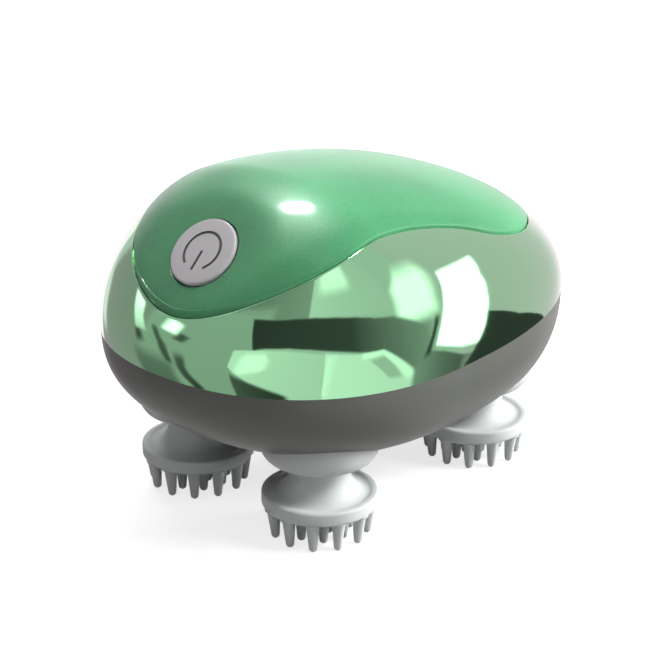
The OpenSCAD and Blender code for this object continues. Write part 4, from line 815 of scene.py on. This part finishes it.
def card(name, first_side, second_side, levels, tint=(1, 1, 1), feather=(0.06, 0.06), distance=2.0, steps=28):
    """A bent card between two sides given as directions (azimuth, elevation); only glossy surfaces see it.
    Its level runs from one end to the other, and its edges fade over a share of its width and length."""
    def on_side(side, t):
        k = min(int(t * (len(side) - 1)), len(side) - 2)
        u = t * (len(side) - 1) - k
        return [side[k][i] * (1 - u) + side[k + 1][i] * u for i in (0, 1)]
    mesh = bpy.data.meshes.new(name)
    points, across = [], []
    for i in range(steps + 1):
        a, b = on_side(first_side, i / steps), on_side(second_side, i / steps)
        for j in range(steps + 1):
            u = j / steps
            points.append(STUDIO_MID + direction(a[0] * (1 - u) + b[0] * u, a[1] * (1 - u) + b[1] * u) * distance)
            across.append((u, i / steps))
    n = steps + 1
    mesh.from_pydata(points, [], [[i * n + j, i * n + j + 1, (i + 1) * n + j + 1, (i + 1) * n + j]
                                  for i in range(steps) for j in range(steps)])
    places = mesh.uv_layers.new(name="across")
    for loop in mesh.loops:
        places.data[loop.index].uv = across[loop.vertex_index]
    obj = bpy.data.objects.new(name, mesh)
    scene.collection.objects.link(obj)
    paint = bpy.data.materials.new(name)
    paint.use_nodes = True
    tree = paint.node_tree
    tree.nodes.remove(tree.nodes["Principled BSDF"])
    light, clear, mix = (tree.nodes.new("ShaderNode" + kind) for kind in ("Emission", "BsdfTransparent", "MixShader"))
    light.inputs["Color"].default_value = (*tint, 1)
    spot = tree.nodes.new("ShaderNodeTexCoord")
    parts = tree.nodes.new("ShaderNodeSeparateXYZ")
    tree.links.new(spot.outputs["UV"], parts.inputs[0])
    slope = node(tree, "ShaderNodeMath", operation="MULTIPLY_ADD")
    slope.inputs[1].default_value, slope.inputs[2].default_value = levels[-1] - levels[0], levels[0]
    tree.links.new(parts.outputs[1], slope.inputs[0])
    tree.links.new(slope.outputs[0], light.inputs["Strength"])
    fades = []
    for axis in (0, 1):
        far = node(tree, "ShaderNodeMath", operation="PINGPONG")
        far.inputs[1].default_value = 0.5
        fade = node(tree, "ShaderNodeMapRange", interpolation_type="SMOOTHSTEP")
        fade.inputs["From Max"].default_value = feather[axis]
        tree.links.new(parts.outputs[axis], far.inputs[0])
        tree.links.new(far.outputs[0], fade.inputs["Value"])
        fades.append(fade)
    both = node(tree, "ShaderNodeMath", operation="MULTIPLY")
    for k in (0, 1):
        tree.links.new(fades[k].outputs[0], both.inputs[k])
    tree.links.new(both.outputs[0], mix.inputs[0])
    tree.links.new(clear.outputs[0], mix.inputs[1])
    tree.links.new(light.outputs[0], mix.inputs[2])
    tree.links.new(mix.outputs[0], tree.nodes["Material Output"].inputs["Surface"])
    mesh.materials.append(paint)
    obj.visible_camera = obj.visible_diffuse = obj.visible_shadow = obj.visible_transmission = False


softbox("side lamp", -34, 16, 1.2, 0.4, 0.5, 24)
softbox("front lamp", -64, 38, 1.2, 0.4, 0.4, 12)
softbox("back lamp", 60, 50, 1.6, 1.0, 0.8, 18)
softbox("left lamp", -165, 50, 1.6, 0.9, 0.7, 4.5)
# The cards. A card at a smaller distance lies in front of one at a larger distance.
ROSE = (1.16, 1.0, 1.08)
card("high card", [(-142, 33), (-115, 33), (-75, 22)], [(-142, 80), (-115, 80), (-75, 72)], [0.78, 0.62],
     feather=(0.1, 0.04), distance=2.5)
card("dim high card", [(-205, 34), (-139, 34)], [(-205, 78), (-139, 78)], [0.2, 0.36], feather=(0.1, 0.03),
     distance=2.45)
card("bright high card", [(-138, 50), (-98, 48)], [(-138, 80), (-96, 80)], [1.3], feather=(0.35, 0.25), distance=2.4)
card("side card", [(-48, -40), (10, -40)], [(-48, 66), (10, 66)], [0.55, 0.62], ROSE, feather=(0.1, 0.12),
     distance=2.4)
card("tail card", [(-8, -40), (62, -40), (74, -40)], [(4, 22), (62, 22), (74, 22)], [0.85, 1.1], ROSE,
     feather=(0.1, 0.2), distance=2.35)
card("left card", [(64, -40), (72, -10), (84, 14), (100, 22)], [(132, -40), (132, -10), (132, 14), (132, 30)],
     [0.34, 0.3], ROSE, feather=(0.1, 0.08), distance=2.5)
card("far left card", [(120, -40), (120, -10), (124, 14), (132, 34)], [(196, -40), (196, -10), (196, 14), (196, 50)],
     [0.4, 0.45], feather=(0.12, 0.08), distance=2.45)
card("dark band",
     [(-173, 14.8), (-170, 16.5), (-165, 17.3), (-150, 17), (-135, 14), (-120, 9.5), (-105, 4.6), (-92, 1)],
     [(-183, 37), (-175, 38), (-165, 38.7), (-150, 39.9), (-135, 39.6), (-120, 37), (-105, 32.6), (-92, 27)],
     [0.04, 0.07], feather=(0.08, 0.03), distance=2.3)
card("dim band", [(-112, 6), (-98, 2.5), (-86.5, -1), (-75, -13.4), (-66, -22), (-60, -30)],
     [(-112, 34.5), (-98, 29.5), (-86.5, 25), (-75, 21.5), (-63, 14), (-50, 8)], [0.06, 0.36], feather=(0.09, 0.16),
     distance=2.25)
card("low card left", [(-186, 2), (-182, -3), (-172, -12), (-160, -19), (-145, -26), (-124, -36)],
     [(-186, 15), (-178, 16.5), (-165, 17.6), (-150, 16.8), (-137, 14), (-124, 10)], [0.95, 0.75],
     feather=(0.05, 0.04), distance=2.2)
card("low card right", [(-126, -38), (-110, -38), (-90, -38), (-64, -34)],
     [(-126, 11.5), (-110, 6.5), (-91, 1.5), (-64.5, -22)], [1.02, 0.9], feather=(0.05, 0.02), distance=2.15)
card("white card left", [(-185, -4), (-178, -8), (-166, -4), (-158, 2)],
     [(-182, 12), (-175, 17), (-164, 17), (-158, 8)], [1.3], feather=(0.3, 0.35), distance=2.1)
card("white strip", [(-127, -24), (-121, -24)], [(-125, 9), (-116, 8)], [1.25, 1.0], feather=(0.1, 0.25),
     distance=2.1)
card("dim strip", [(-84, -19), (-75, -20)], [(-100, -1), (-88, 0)], [0.6], feather=(0.2, 0.14), distance=2.1)
card("white edge", [(-104, -2), (-90, -2), (-74, -22)], [(-104, 5), (-89, 3), (-62, -22)], [1.25, 1.2],
     feather=(0.35, 0.1), distance=2.05)
card("dark corner left", [(-185, -1), (-181, -4), (-172, -9), (-160, -15), (-144, -22)],
     [(-176, -40), (-172, -40), (-168, -40), (-158, -40), (-144, -40)], [0.12, 0.04], feather=(0.16, 0.1),
     distance=2.0)
card("dark low card", [(-72, -16), (-61, -8), (-52, -11.5), (-36, -20)],
     [(-72, -40), (-61, -40), (-52, -40), (-36, -40)], [0.35, 0.1], feather=(0.06, 0.12), distance=2.0)
card("dark corner right", [(-39, -14), (-36.5, -2), (-25, -12), (-15, -17), (0, -23)],
     [(-39, -40), (-36.5, -40), (-25, -40), (-15, -40), (0, -40)], [0.045], feather=(0.03, 0.04), distance=1.95)
card("dark strip", [(-52.5, 12), (-57, 3), (-62, -6), (-67, -14)], [(-48.5, 10), (-54.5, 1), (-58, -6), (-60, -13)],
     [0.07], feather=(0.35, 0.2), distance=1.95)
card("soft bright card", [(-60, 5), (-80, 20), (-76, 38), (-52, 52)], [(-49, 8), (-44, 18), (-35, 29), (-28, 42)],
     [1.7], feather=(0.22, 0.3), distance=1.9)
card("bright card", [(-57.5, -8), (-54.5, -1), (-50, 7), (-44, 16), (-34, 29)],
     [(-38.5, -17), (-37, -4), (-33.5, 7), (-28.5, 17), (-20.5, 25.5)], [2.5], feather=(0.04, 0.04), distance=1.85)
card("low light left", [(68, -2), (70, -20)], [(85, -4), (88, -21)], [0.8, 0.95], feather=(0.4, 0.3), distance=2.2)
card("left dim card", [(119, -2), (122, -36)], [(144, 1), (152, -36)], [0.22, 0.14], feather=(0.25, 0.3),
     distance=2.2)
card("left dim edge", [(140, 4), (143, -6), (149, -18), (155, -30)], [(148, 5), (151, -6), (159, -18), (167, -30)],
     [0.12, 0.05], feather=(0.35, 0.2), distance=2.15)
card("left dark streak", [(115.5, 8), (120, 3), (124, -6)], [(119, 10), (125, 5), (133, -1)], [0.16, 0.07],
     feather=(0.4, 0.25), distance=2.15)
card("left streak", [(110, 15), (115.5, 8.5), (121.5, 1)], [(123, 15), (125.5, 9.5), (131, 4.5)], [2.2, 0.7],
     feather=(0.25, 0.12), distance=2.1)
card("left dark line", [(129, 10), (135, 3), (140, -8)], [(133.5, 11), (139.5, 4), (144, -7)], [0.12, 0.08],
     feather=(0.4, 0.15), distance=2.12)
card("left dark spot", [(138, 7), (141, 14)], [(146, 8), (150, 14)], [0.1], feather=(0.4, 0.3), distance=2.15)
card("left spot", [(134, 9.5), (135, 18)], [(142, 10), (144, 18)], [2.2], feather=(0.35, 0.25), distance=2.1)
card("highlight card", [(38, 61), (42, 72)], [(74, 60), (77, 70)], [110.0], feather=(0.3, 0.3), distance=2.0)
